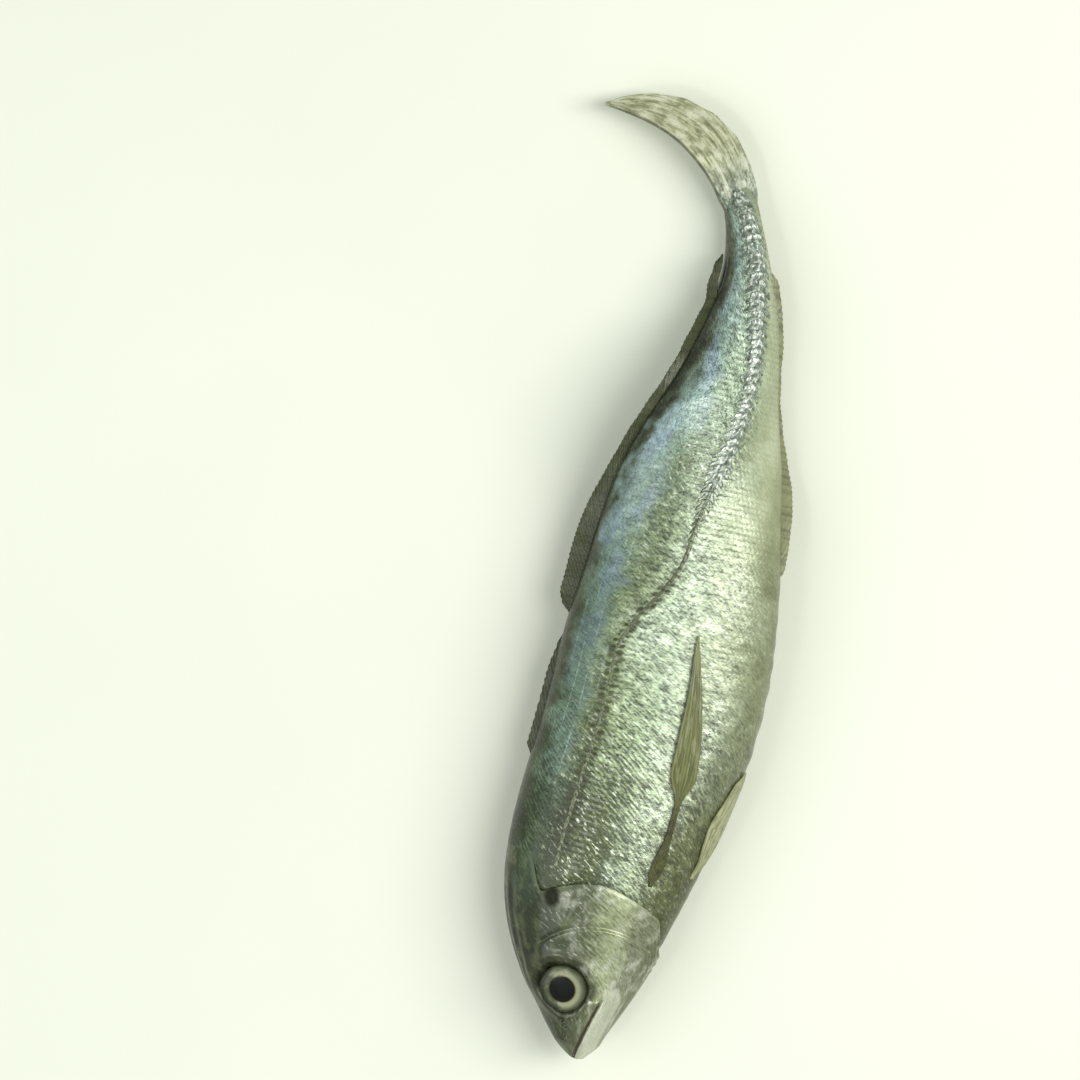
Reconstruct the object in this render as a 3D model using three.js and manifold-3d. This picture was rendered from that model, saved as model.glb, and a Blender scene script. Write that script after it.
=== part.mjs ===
// A whole raw horse mackerel lying on its right flank, left flank up, as one solid.
//
// Millimetres, +Z up. The head points to -Y and the tail to +Y; the back is on the -X side and the
// belly on the +X side. The flat spot pressed into the under flank lies in the plane z = 0.
import * as THREE from 'three';
import { mergeVertices } from 'three/addons/utils/BufferGeometryUtils.js';
import Module from 'manifold-3d';

const wasm = await Module();
wasm.setup();

// Driving dimensions

const BODY_LENGTH = 236; // snout tip to tail fin base, along the spine
const TAIL_LENGTH = 51; // tail fin, along its own curve
const SPINE_HEIGHT = 15.2; // spine above the rest plane, from the head to mid body
const TAIL_DROOP = { from: 175, to: 240, depth: 7.0 }; // the spine sinks towards the tail
const SNOUT = { x: -19.55, y: -130.6 };
const REST_SPOT_END = 135; // place where the flat spot under the right flank has run out
const START_HEADING = 4.7;

// The spine's heading, in degrees from +Y towards +X, adds smooth bends [from, to, turn] to its start.
const SPINE_BENDS = [
  [20, 66, 14.9],
  [74, 112, -8.5],
  [140, 186, 3.8],
  [194, 240, -24.2],
];
const TAIL_BENDS = { from: 229, to: 291, upper: -82, lower: -76 };
// Turns about the spine [from, to, degrees]: the back rolls up, and the tail fin lies flat again.
const TWISTS = [
  [138, 190, 39],
  [190, 216, -15],
  [224, 244, -24],
];
const FLESH_END = 243; // where the flesh thins out between the tail fin's rays

// Half sizes at places along the spine: [place, to the back, to the belly, half thickness].
const STATIONS = [
  [0, 1.4, 1.6, 1.3],
  [2, 3.8, 3.9, 3.0],
  [5, 6.6, 6.2, 4.8],
  [16, 13.2, 12.6, 8.8],
  [29, 19.9, 18.6, 12.0],
  [43, 24.8, 22.8, 14.2],
  [56, 27.0, 25.2, 15.4],
  [72, 28.3, 27.0, 16.1],
  [92, 29.0, 28.6, 16.4],
  [112, 28.5, 29.1, 16.2],
  [132, 26.4, 27.2, 15.0],
  [152, 24.2, 24.2, 13.4],
  [172, 21.2, 21.6, 11.8],
  [190, 16.2, 16.8, 10.2],
  [205, 10.6, 11.2, 8.7],
  [218, 6.6, 6.9, 7.0],
  [231, 4.9, 5.0, 5.0],
  [238, 5.0, 5.1, 2.9],
  [FLESH_END, 5.4, 5.4, 0.9],
];

const GILL_EDGE = { place: 48.5, level: -0.05, curve: 11, throat: 8, top: 0.66, lift: 1.0 };
const CHEEK_EDGE = { place: 36, level: -0.15, curve: 11, lift: 0.45 };
const EYE = { place: 19.5, level: 0.36, radius: 6.8, bulge: 2.0, rim: 0.7 };
const MOUTH = { length: 16, front: 1.3, back: -5.0, gape: 1.7, corner: 0.45 };
const LATERAL_LINE = { start: 50, level: 0.48, bendFrom: 108, bendTo: 143, end: 235 };
const SCUTES = { from: 141, count: 37, height: 1.5, lowHeight: 0.45, width: 4.4, lowWidth: 1.6 };

// Folded fins: the height of the front lobe and of the low strip behind it, how far the rear tip
// stands free, and the pitch of the ray tips.
const FIRST_DORSAL = { from: 72, to: 114, strip: 1.5, pitch: 5.2, lean: -0.25 };
const SECOND_DORSAL = { from: 116, to: 223, lobe: 3.4, strip: 1.9, free: 2.6, pitch: 4.6, lean: -0.3 };
const ANAL_FIN = { from: 136, to: 219, lobe: 1.1, strip: 1.8, free: 1.4, pitch: 4.6, lean: 0.2 };
const EDGE_HEIGHT = 0.6; // least height of the second dorsal and anal fins
const TIP_HEIGHT = 0.5; // how far the ray tips stand out of a folded fin's edge
// Lying fins: where they start and end, and their half widths.
const PECTORAL = { from: 51.5, end: 119, rootWidth: 1.9, neckWidth: 0.95, bladeWidth: 2.5 };
const PELVIC = { from: 57, end: 88, rootWidth: 0.5, bladeWidth: 1.5 };

const RING_COUNT = 70;
const SECTION_COUNT = 34;
const FIN_FLOOR = 0.12; // no fin reaches lower, so the body alone touches the rest plane

// Smooth numbers

function smooth(from, to, value) {
  const t = Math.min(Math.max((value - from) / (to - from), 0), 1);
  return t * t * (3 - 2 * t);
}

function mix(a, b, t) {
  return a + (b - a) * t;
}

// A cubic through one column of STATIONS, with the slope at each station taken from its neighbours.
function stationValue(place, column) {
  const last = STATIONS.length - 1;
  let i = 0;
  while (i < last - 1 && STATIONS[i + 1][0] < place) i += 1;
  const slope = (k) => {
    const low = STATIONS[Math.max(k - 1, 0)];
    const high = STATIONS[Math.min(k + 1, last)];
    return (high[column] - low[column]) / (high[0] - low[0]);
  };
  const [a, b] = [STATIONS[i], STATIONS[i + 1]];
  const span = b[0] - a[0];
  const t = Math.min(Math.max((place - a[0]) / span, 0), 1);
  const bulge = (1 - t) * (1 - t) * t * span * slope(i) - t * t * (1 - t) * span * slope(i + 1);
  return mix(a[column], b[column], t * t * (3 - 2 * t)) + bulge;
}

// The spine

const SPINE_STEP = 0.5;

function heading(place, tailBend) {
  let degrees = START_HEADING + tailBend * smooth(TAIL_BENDS.from, TAIL_BENDS.to, place);
  for (const [from, to, turn] of SPINE_BENDS) degrees += turn * smooth(from, to, place);
  return THREE.MathUtils.degToRad(degrees);
}

function walkSpine(tailBend) {
  const points = [new THREE.Vector2(SNOUT.x, SNOUT.y)];
  for (let place = 0; place < BODY_LENGTH + TAIL_LENGTH + 10; place += SPINE_STEP) {
    const angle = heading(place + SPINE_STEP / 2, tailBend);
    const step = new THREE.Vector2(Math.sin(angle), Math.cos(angle)).multiplyScalar(SPINE_STEP);
    points.push(points.at(-1).clone().add(step));
  }
  return points;
}

const UPPER_WALK = walkSpine(TAIL_BENDS.upper);
const LOWER_WALK = walkSpine(TAIL_BENDS.lower);

// The spine's point at a place, with the directions towards the back and out of the left flank.
function spineFrame(place, lowerLobe = false) {
  const walk = lowerLobe ? LOWER_WALK : UPPER_WALK;
  const angle = heading(place, lowerLobe ? TAIL_BENDS.lower : TAIL_BENDS.upper);
  const steps = Math.max(place, 0) / SPINE_STEP;
  const index = Math.min(Math.floor(steps), walk.length - 2);
  const flat = walk[index].clone().lerp(walk[index + 1], steps - index);
  const height = SPINE_HEIGHT - TAIL_DROOP.depth * smooth(TAIL_DROOP.from, TAIL_DROOP.to, place);
  let twist = 0;
  for (const [from, to, degrees] of TWISTS) {
    twist += THREE.MathUtils.degToRad(degrees) * smooth(from, to, place);
  }
  const side = new THREE.Vector3(-Math.cos(angle), Math.sin(angle), 0);
  const up = new THREE.Vector3(0, 0, 1);
  return {
    point: new THREE.Vector3(flat.x, flat.y, height),
    side,
    back: side.clone().multiplyScalar(Math.cos(twist)).addScaledVector(up, Math.sin(twist)),
    flank: up.clone().multiplyScalar(Math.cos(twist)).addScaledVector(side, -Math.sin(twist)),
  };
}

// Low relief of the head, as a height above the plain skin. Level runs from 1 at the back to -1 at
// the belly.

function gillEdge(level) {
  const curve = GILL_EDGE.curve * Math.abs(level - GILL_EDGE.level) ** 1.6;
  return GILL_EDGE.place - curve - GILL_EDGE.throat * smooth(0.75, 1, -level);
}

function relief(place, level) {
  const edge = gillEdge(level);
  const fade = 1 - smooth(GILL_EDGE.top - 0.12, GILL_EDGE.top + 0.12, level);
  const cover = smooth(edge - 24, edge - 2, place) * (1 - smooth(edge - 0.4, edge + 1.6, place));
  const cheek = CHEEK_EDGE.place - CHEEK_EDGE.curve * (level - CHEEK_EDGE.level) ** 2;
  const cheekPlate = smooth(cheek - 9, cheek - 1, place) * (1 - smooth(cheek, cheek + 1.6, place));
  const depth = level > 0 ? stationValue(EYE.place, 1) : stationValue(EYE.place, 2);
  const fromEye = Math.hypot(place - EYE.place, (level - EYE.level) * depth);
  const eyeRim = EYE.rim * Math.exp(-(((fromEye - EYE.radius - 1.4) / 1.6) ** 2));
  const throat = 1 - smooth(0.8, 0.98, -level);
  return fade * (GILL_EDGE.lift * cover + CHEEK_EDGE.lift * cheekPlate * throat) + eyeRim;
}

// A point on the skin. The angle is 0 at the back, a quarter turn on the left flank and a half turn
// at the belly; lift is the height above the skin.
function skin(place, angle, lift = 0) {
  const { point, back, flank } = spineFrame(place);
  const level = Math.cos(angle);
  const across = Math.sin(angle);
  const depth = stationValue(place, level > 0 ? 1 : 2);
  const thickness = stationValue(place, 3);
  const fullness = 0.9;
  const keel = 1 - (level > 0 ? 0.05 : 0.13) * level * level;
  const outward = Math.sign(across) * Math.abs(across) ** fullness * keel;
  const direction = new THREE.Vector2(level / depth, across / thickness).normalize();
  const height = lift + relief(place, level);
  const p = point
    .addScaledVector(back, level * depth + direction.x * height)
    .addScaledVector(flank, outward * thickness + direction.y * height);
  p.z = Math.max(p.z, 0);
  return p;
}

// Closed solids

function solidFrom(points, triangles) {
  const geometry = new THREE.BufferGeometry();
  const numbers = points.flatMap((p) => p.toArray());
  geometry.setAttribute('position', new THREE.Float32BufferAttribute(numbers, 3));
  geometry.setIndex(triangles);
  const merged = mergeVertices(geometry, 1e-4);
  const build = (triVerts) =>
    new wasm.Manifold(
      new wasm.Mesh({ numProp: 3, vertProperties: merged.attributes.position.array, triVerts }),
    );
  const solid = build(new Uint32Array(merged.index.array));
  return solid.volume() > 0 ? solid : build(new Uint32Array(merged.index.array).reverse());
}

// Rings of equal length, one after the other, closed by a fan at each end.
function loft(rings) {
  const count = rings[0].length;
  const points = rings.flat();
  const triangles = [];
  for (let r = 0; r + 1 < rings.length; r += 1) {
    for (let k = 0; k < count; k += 1) {
      const a = r * count + k;
      const b = r * count + ((k + 1) % count);
      triangles.push(a, b, a + count, b, b + count, a + count);
    }
  }
  for (const [ring, turned] of [[0, true], [rings.length - 1, false]]) {
    const centre = points.length;
    const middle = new THREE.Vector3();
    for (const p of rings[ring]) middle.addScaledVector(p, 1 / count);
    points.push(middle);
    for (let k = 0; k < count; k += 1) {
      const a = ring * count + k;
      const b = ring * count + ((k + 1) % count);
      triangles.push(...(turned ? [b, a, centre] : [a, b, centre]));
    }
  }
  return solidFrom(points, triangles);
}

// A thin wavy sheet. Its middle surface is middle(u, v), with u and v from 0 to 1; every second
// column stands a little proud as a fin ray, and both faces are split into triangles alike.
function sheet(columns, rows, middle, thickness, ray = 0.12) {
  const step = 1e-3;
  const upper = [];
  const lower = [];
  for (let i = 0; i <= columns; i += 1) {
    for (let j = 0; j <= rows; j += 1) {
      const [u, v] = [i / columns, j / rows];
      const [u0, u1] = [Math.max(u - step, 0), Math.min(u + step, 1)];
      const [v0, v1] = [Math.max(v - step, 0), Math.min(v + step, 1)];
      const along = middle(u1, v).sub(middle(u0, v));
      const across = middle(u, v1).sub(middle(u, v0));
      const normal = along.cross(across).normalize();
      const half = thickness(u, v) / 2;
      const wave = (j % 2 ? ray : -ray) * Math.min(1, 4 * u);
      upper.push(middle(u, v).addScaledVector(normal, wave + half));
      lower.push(middle(u, v).addScaledVector(normal, wave - half));
    }
  }
  const points = [...upper, ...lower];
  for (const p of points) p.z = Math.max(p.z, FIN_FLOOR);
  const size = upper.length;
  const at = (i, j) => i * (rows + 1) + j;
  const triangles = [];
  const quad = (a, b, c, d) => triangles.push(a, b, c, a, c, d);
  for (let i = 0; i < columns; i += 1) {
    for (let j = 0; j < rows; j += 1) {
      const corners = [at(i, j), at(i + 1, j), at(i + 1, j + 1), at(i, j + 1)];
      quad(...corners);
      triangles.push(size + corners[0], size + corners[2], size + corners[1]);
      triangles.push(size + corners[0], size + corners[3], size + corners[2]);
    }
  }
  for (let i = 0; i < columns; i += 1) {
    quad(at(i, 0), size + at(i, 0), size + at(i + 1, 0), at(i + 1, 0));
    quad(at(i + 1, rows), size + at(i + 1, rows), size + at(i, rows), at(i, rows));
  }
  for (let j = 0; j < rows; j += 1) {
    quad(at(0, j + 1), size + at(0, j + 1), size + at(0, j), at(0, j));
    quad(at(columns, j), size + at(columns, j), size + at(columns, j + 1), at(columns, j + 1));
  }
  return solidFrom(points, triangles);
}

// The body, from snout to tail fin base

function body() {
  const rings = [];
  for (let r = 0; r < RING_COUNT; r += 1) {
    const t = r / (RING_COUNT - 1);
    const place = FLESH_END * (0.45 * t + 0.55 * t * t);
    const ring = [];
    for (let k = 0; k < SECTION_COUNT; k += 1) ring.push(skin(place, (2 * Math.PI * k) / SECTION_COUNT));
    rings.push(ring);
  }
  return loft(rings);
}

// The gape: a thin wedge through the snout that leaves the lower jaw a little open.
function gape() {
  const rings = [];
  for (const place of [-3, 3, 8, 12, MOUTH.length]) {
    const t = Math.max(place, 0) / MOUTH.length;
    const { point, back, flank } = spineFrame(Math.max(place, 0));
    const forward = new THREE.Vector3(0, Math.min(place, 0), 0);
    const level = mix(MOUTH.front, MOUTH.back, t ** 1.2);
    const half = mix(MOUTH.gape, MOUTH.corner, t) / 2;
    const corner = (height, out) =>
      point.clone().add(forward).addScaledVector(back, level + height).addScaledVector(flank, out);
    rings.push([corner(half, 16), corner(half, -16), corner(-half, -16), corner(-half, 16)]);
  }
  return loft(rings);
}

// An eyeball: a low dome set in the side of the head, with a round rim.
function eye(side) {
  const angle = side * Math.acos(EYE.level);
  const centre = skin(EYE.place, angle);
  const ahead = skin(EYE.place + 1, angle).sub(skin(EYE.place - 1, angle));
  const round = skin(EYE.place, angle + 0.05).sub(skin(EYE.place, angle - 0.05));
  const normal = ahead.clone().cross(round).normalize();
  if (normal.z * side < 0) normal.negate();
  const turn = new THREE.Quaternion().setFromUnitVectors(new THREE.Vector3(0, 0, 1), normal);
  const segments = 20;
  const profile = [
    [0.96, -3.5],
    [1, -0.5],
    [0.97, 0.35],
    [0.86, 0.75],
    [0.6, 0.75 + EYE.bulge * 0.3],
    [0.3, 0.75 + EYE.bulge * 0.42],
  ];
  const rings = profile.map(([radius, height]) => {
    const ring = [];
    for (let k = 0; k < segments; k += 1) {
      const a = (2 * Math.PI * k) / segments;
      const local = new THREE.Vector3(Math.cos(a), Math.sin(a), 0).multiplyScalar(EYE.radius * radius);
      local.z = height;
      ring.push(local.applyQuaternion(turn).add(centre));
    }
    return ring;
  });
  return loft(rings);
}

// The row of keeled plates along the lateral line, as a saw-toothed ridge.

function lateralLevel(place) {
  return LATERAL_LINE.level * (1 - smooth(LATERAL_LINE.bendFrom, LATERAL_LINE.bendTo, place));
}

function scuteRidge(side) {
  const rings = [];
  const ring = (place, height, width) => {
    const angle = side * Math.acos(lateralLevel(place));
    const spread = (width / 2 / stationValue(place, 1)) * side;
    rings.push([
      skin(place, angle - spread, -0.5),
      skin(place, angle, height),
      skin(place, angle + spread, -0.5),
    ]);
  };
  const front = side > 0 ? LATERAL_LINE.start : REST_SPOT_END;
  const frontSteps = side > 0 ? 12 : 3;
  for (let i = 0; i < frontSteps; i += 1) {
    const place = mix(front, SCUTES.from, i / frontSteps);
    ring(place, SCUTES.lowHeight * smooth(0, 3, i), SCUTES.lowWidth);
  }
  const pitch = (LATERAL_LINE.end - SCUTES.from) / SCUTES.count;
  for (let i = 0; i < SCUTES.count; i += 1) {
    const place = SCUTES.from + i * pitch;
    const tall = mix(SCUTES.lowHeight, SCUTES.height, smooth(0, 18, i));
    const width = mix(SCUTES.lowWidth, SCUTES.width, smooth(0, 18, i));
    ring(place, tall * 0.45, width * 0.8);
    ring(place + pitch * 0.82, tall, width);
  }
  return loft(rings);
}

// Fins

function tailLobe(lower) {
  const length = lower ? TAIL_LENGTH * 0.92 : TAIL_LENGTH;
  const start = BODY_LENGTH - 5;
  const offset = lower ? -1.5 : 1.4;
  const slant = lower ? 0.1 : 0.34;
  const middle = (u, v) => {
    const place = mix(start, BODY_LENGTH + length, u);
    const { point, side } = spineFrame(place, lower);
    const narrow = lower ? 0.85 : 1;
    const half = narrow * (4.8 + 2.0 * smooth(0, 0.5, u)) * (1 - u ** 3.4) + 0.15;
    const across = mix(1, -1, v) * half;
    const lift = offset * smooth(0.05, 0.5, u) + slant * across + 0.8 * Math.sin(5 * u) * v;
    return point.addScaledVector(side, across).add(new THREE.Vector3(0, 0, lift));
  };
  return sheet(11, 8, middle, (u) => mix(1.5, 0.7, smooth(0, 0.4, u)), 0.14);
}

// A folded fin that runs along the back or the belly. height(place) is its height above the skin and
// lift(place) how far its root stands off.
function foldedFin({ from, to, angle, columns, rows, height, lift, lean }) {
  const middle = (u, v) => {
    const place = mix(from, to, u);
    const rise = mix(-1.4 + lift(place), height(place) + lift(place), v);
    const p = skin(place, angle, rise);
    const { flank } = spineFrame(place);
    return p.addScaledVector(flank, lean * smooth(0, 1, v) * height(place));
  };
  return sheet(columns, rows, middle, (u, v) => mix(1.1, 0.7, v), 0);
}

// Saw teeth where the ray tips end.
function rayTips(place, pitch) {
  return Math.abs(((place / pitch) % 1) - 0.5) * 2;
}

function firstDorsal() {
  const { from, to, strip, pitch, lean } = FIRST_DORSAL;
  const height = (place) =>
    strip * smooth(from, from + 6, place) * (1 - smooth(to - 14, to + 1, place)) +
    TIP_HEIGHT * rayTips(place, pitch);
  return foldedFin({ from, to, angle: 0, columns: 16, rows: 1, height, lift: () => 0, lean });
}

function secondDorsal() {
  const { from, to, lobe, strip, free, pitch, lean } = SECOND_DORSAL;
  const height = (place) =>
    EDGE_HEIGHT +
    lobe * smooth(from, from + 9, place) * (1 - smooth(from + 16, from + 49, place)) +
    strip * smooth(from + 9, from + 34, place) * (1 - smooth(to - 17, to + 1, place)) +
    TIP_HEIGHT * rayTips(place, pitch);
  const lift = (place) => free * smooth(to - 17, to - 7, place);
  return foldedFin({ from, to, angle: 0, columns: 36, rows: 1, height, lift, lean });
}

function analFin() {
  const { from, to, lobe, strip, free, pitch, lean } = ANAL_FIN;
  const height = (place) =>
    EDGE_HEIGHT +
    lobe * smooth(from, from + 12, place) * (1 - smooth(from + 16, from + 40, place)) +
    strip * smooth(from + 6, from + 28, place) * (1 - smooth(to - 17, to, place)) +
    TIP_HEIGHT * 0.8 * rayTips(place, pitch);
  const lift = (place) => free * smooth(to - 13, to - 3, place);
  return foldedFin({ from, to, angle: Math.PI, columns: 28, rows: 1, height, lift, lean });
}

// A thin fin lying back on the skin, centred on level(u). Its half width is halfWidth(u) in mm.
function lyingFin({ from, to, side, columns, rows, level, halfWidth, lift }) {
  const middle = (u, v) => {
    const place = mix(from, to, u);
    const centre = Math.acos(level(u));
    const reach = (mix(-1, 1, v) * halfWidth(u)) / (stationValue(place, 2) * Math.sin(centre));
    return skin(place, side * (centre + reach), lift(u));
  };
  return sheet(columns, rows, middle, (u) => mix(1.3, 0.8, smooth(0, 0.4, u)));
}

// A long pectoral fin: a fleshy root behind the gill cover, a narrow neck and a tapering blade.
function pectoralFin(side) {
  const { from, end, rootWidth, neckWidth, bladeWidth } = PECTORAL;
  const root = (u) => (rootWidth - 0.4) * (1 - smooth(0.1, 0.24, u));
  const blade = (u) => bladeWidth * smooth(0.33, 0.52, u) * (1 - smooth(0.5, 1, u));
  return lyingFin({
    from,
    to: end,
    side,
    columns: side > 0 ? 16 : 12,
    rows: 4,
    level: (u) => mix(-0.54, -0.22, smooth(0.2, 1.15, u)),
    halfWidth: (u) => neckWidth + root(u) + blade(u) - 0.4 * smooth(0.7, 1, u),
    lift: (u) => mix(-0.3, 0.6, smooth(0, 0.15, u)) + 0.5 * smooth(0.35, 0.6, u),
  });
}

// A short pelvic fin folded back along the keel of the belly.
function pelvicFin(side) {
  const { from, end, rootWidth, bladeWidth } = PELVIC;
  return lyingFin({
    from,
    to: end,
    side,
    columns: 8,
    rows: 3,
    level: (u) => mix(-0.93, -0.975, u),
    halfWidth: (u) => rootWidth + bladeWidth * smooth(0, 0.5, u) * (1 - 0.6 * smooth(0.5, 1, u)),
    lift: (u) => mix(-0.3, 0.5, smooth(0, 0.2, u)),
  });
}

// The whole fish

const pieces = [
  eye(1),
  eye(-1),
  scuteRidge(1),
  scuteRidge(-1),
  tailLobe(false),
  tailLobe(true),
  firstDorsal(),
  secondDorsal(),
  analFin(),
  pectoralFin(1),
  pectoralFin(-1),
  pelvicFin(1),
  pelvicFin(-1),
];

let fishSolid = body().subtract(gape());
for (const piece of pieces) fishSolid = fishSolid.add(piece);

const mesh = fishSolid.getMesh();
const geometry = new THREE.BufferGeometry();
geometry.setAttribute('position', new THREE.BufferAttribute(mesh.vertProperties, 3));
geometry.setIndex(new THREE.BufferAttribute(mesh.triVerts, 1));
geometry.computeVertexNormals();

const silverSkin = { color: 0x9ea592, roughness: 0.35, metalness: 0.2 };
const skinMaterial = new THREE.MeshStandardMaterial(silverSkin);
const fish = new THREE.Mesh(geometry, skinMaterial);
fish.name = 'fish';

const group = new THREE.Group();
group.add(fish);

export default group;
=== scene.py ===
"""A whole raw horse mackerel lying on its right flank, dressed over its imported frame.

Millimetres inside the shape functions, metres in the meshes. The head points to -Y, the tail to +Y,
the back is on the -X side and the belly on the +X side, and the fish rests on the plane z = 0.
"""
import math

import bpy
import numpy as np
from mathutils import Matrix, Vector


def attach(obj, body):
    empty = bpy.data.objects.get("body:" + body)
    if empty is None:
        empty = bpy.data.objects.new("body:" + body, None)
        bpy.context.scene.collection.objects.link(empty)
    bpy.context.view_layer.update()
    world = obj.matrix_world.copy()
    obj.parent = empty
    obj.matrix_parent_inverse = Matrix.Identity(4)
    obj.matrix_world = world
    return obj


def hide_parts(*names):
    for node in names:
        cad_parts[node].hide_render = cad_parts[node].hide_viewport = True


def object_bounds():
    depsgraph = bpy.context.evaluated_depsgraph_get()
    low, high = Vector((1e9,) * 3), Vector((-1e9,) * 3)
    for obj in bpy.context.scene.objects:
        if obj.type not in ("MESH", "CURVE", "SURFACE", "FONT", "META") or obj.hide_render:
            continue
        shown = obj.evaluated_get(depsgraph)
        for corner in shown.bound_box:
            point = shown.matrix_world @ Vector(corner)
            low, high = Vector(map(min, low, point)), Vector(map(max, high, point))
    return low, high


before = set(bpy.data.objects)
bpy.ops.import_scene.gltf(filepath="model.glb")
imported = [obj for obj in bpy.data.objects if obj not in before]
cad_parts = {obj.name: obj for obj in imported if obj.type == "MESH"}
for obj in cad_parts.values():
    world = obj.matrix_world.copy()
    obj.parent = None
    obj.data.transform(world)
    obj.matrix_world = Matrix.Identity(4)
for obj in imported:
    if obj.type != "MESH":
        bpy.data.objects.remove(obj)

cad_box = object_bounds()
MM = 0.001
TURN = 2 * math.pi
BOX_INSET = 1e-5  # every piece stays this many metres inside the solid's box
BOX_LOW = np.array(cad_box[0], dtype=float) + BOX_INSET
BOX_HIGH = np.array(cad_box[1], dtype=float) - BOX_INSET
rng = np.random.default_rng(27)

# Camera, set to the photograph's straight view from above

PHOTO_SIZE = 1080
MM_PER_PIXEL = 0.27
PHOTO_ORIGIN = (649.3, 574.6)  # the frame's origin in the photograph, in pixels
CAMERA_HEIGHT = 1200.0
FISH_MIDDLE_HEIGHT = 15.0
SENSOR = 36.0


def make_camera():
    data = bpy.data.cameras.new("camera")
    data.sensor_width = SENSOR
    width = PHOTO_SIZE * MM_PER_PIXEL
    data.lens = SENSOR * (CAMERA_HEIGHT - FISH_MIDDLE_HEIGHT) / width
    data.clip_start = 0.05
    camera = bpy.data.objects.new("camera", data)
    middle = PHOTO_SIZE / 2
    x = (middle - PHOTO_ORIGIN[0]) * MM_PER_PIXEL
    y = (PHOTO_ORIGIN[1] - middle) * MM_PER_PIXEL
    camera.location = (x * MM, y * MM, CAMERA_HEIGHT * MM)
    bpy.context.scene.collection.objects.link(camera)
    bpy.context.scene.camera = camera


make_camera()

# Driving dimensions, as in the solid

BODY_LENGTH = 236.0
TAIL_LENGTH = 51.0
SPINE_HEIGHT = 15.2
TAIL_DROOP = (175, 240, 7.0)
SNOUT = (-19.55, -130.6)
START_HEADING = 4.7
SPINE_BENDS = ((20, 66, 14.9), (74, 112, -8.5), (140, 186, 3.8), (194, 240, -24.2))
TAIL_BEND = {"from": 229, "to": 291, "upper": -82, "lower": -76}
TWISTS = ((138, 190, 39), (190, 216, -15), (224, 244, -24))
FLESH_END = 243.0

# Half sizes at places along the spine: place, to the back, to the belly, half thickness
STATIONS = np.array([
    (0, 1.4, 1.6, 1.3),
    (2, 3.8, 3.9, 3.0),
    (5, 6.6, 6.2, 4.8),
    (16, 13.2, 12.6, 8.8),
    (29, 19.9, 18.6, 12.0),
    (43, 24.8, 22.8, 14.2),
    (56, 27.0, 25.2, 15.4),
    (72, 28.3, 27.0, 16.1),
    (92, 29.0, 28.6, 16.4),
    (112, 28.5, 29.1, 16.2),
    (132, 26.4, 27.2, 15.0),
    (152, 24.2, 24.2, 13.4),
    (172, 21.2, 21.6, 11.8),
    (190, 16.2, 16.8, 10.2),
    (205, 10.6, 11.2, 8.7),
    (218, 6.6, 6.9, 7.0),
    (231, 4.9, 5.0, 5.0),
    (238, 5.0, 5.1, 2.9),
    (FLESH_END, 5.4, 5.4, 0.9),
])
BACK, BELLY, THICKNESS = 1, 2, 3

GILL = {"place": 48.5, "level": -0.05, "curve": 11, "throat": 8, "top": 0.66, "lift": 1.0}
CHEEK = {"place": 36, "level": -0.15, "curve": 11, "lift": 0.45}
EYE = {"place": 19.5, "level": 0.36, "radius": 6.8, "rim": 0.7}
MOUTH = {"length": 16.5, "front": 1.3, "back": -5.0}
LATERAL = {"start": 50, "level": 0.48, "from": 110, "to": 142, "end": 238}


# Smooth numbers

def smooth(low, high, value):
    t = np.clip((value - low) / (high - low), 0, 1)
    return t * t * (3 - 2 * t)


def mix(a, b, t):
    return a + (b - a) * t


def bump(centre, width, value):
    return np.exp(-(((value - centre) / width) ** 2))


def between(rise, fall, value):
    """1 between a soft step that rises and a later one that falls."""
    return smooth(*rise, value) * (1 - smooth(*fall, value))


def station_slopes(column):
    places = STATIONS[:, 0]
    values = STATIONS[:, column]
    low = np.maximum(np.arange(len(places)) - 1, 0)
    high = np.minimum(np.arange(len(places)) + 1, len(places) - 1)
    return (values[high] - values[low]) / (places[high] - places[low])


SLOPES = {column: station_slopes(column) for column in (BACK, BELLY, THICKNESS)}


def station_value(place, column):
    """The same cubic through one column of the stations as the solid's."""
    places = STATIONS[:, 0]
    i = np.clip(np.searchsorted(places, place) - 1, 0, len(places) - 2)
    span = places[i + 1] - places[i]
    t = np.clip((place - places[i]) / span, 0, 1)
    slope = SLOPES[column]
    bulge = (1 - t) ** 2 * t * span * slope[i] - t * t * (1 - t) * span * slope[i + 1]
    values = STATIONS[:, column]
    return mix(values[i], values[i + 1], t * t * (3 - 2 * t)) + bulge


# The spine

def heading(place, tail_bend):
    degrees = START_HEADING + tail_bend * smooth(TAIL_BEND["from"], TAIL_BEND["to"], place)
    for low, high, turn in SPINE_BENDS:
        degrees = degrees + turn * smooth(low, high, place)
    return np.radians(degrees)


SPINE_STEP = 0.5
SPINE_PLACES = np.arange(0, BODY_LENGTH + TAIL_LENGTH + 11, SPINE_STEP)


def walk_spine(tail_bend):
    angle = heading(SPINE_PLACES + SPINE_STEP / 2, tail_bend)
    x = SNOUT[0] + np.concatenate([[0], np.cumsum(np.sin(angle))[:-1]]) * SPINE_STEP
    y = SNOUT[1] + np.concatenate([[0], np.cumsum(np.cos(angle))[:-1]]) * SPINE_STEP
    return x, y


WALKS = {lobe: walk_spine(TAIL_BEND[lobe]) for lobe in ("upper", "lower")}


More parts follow.
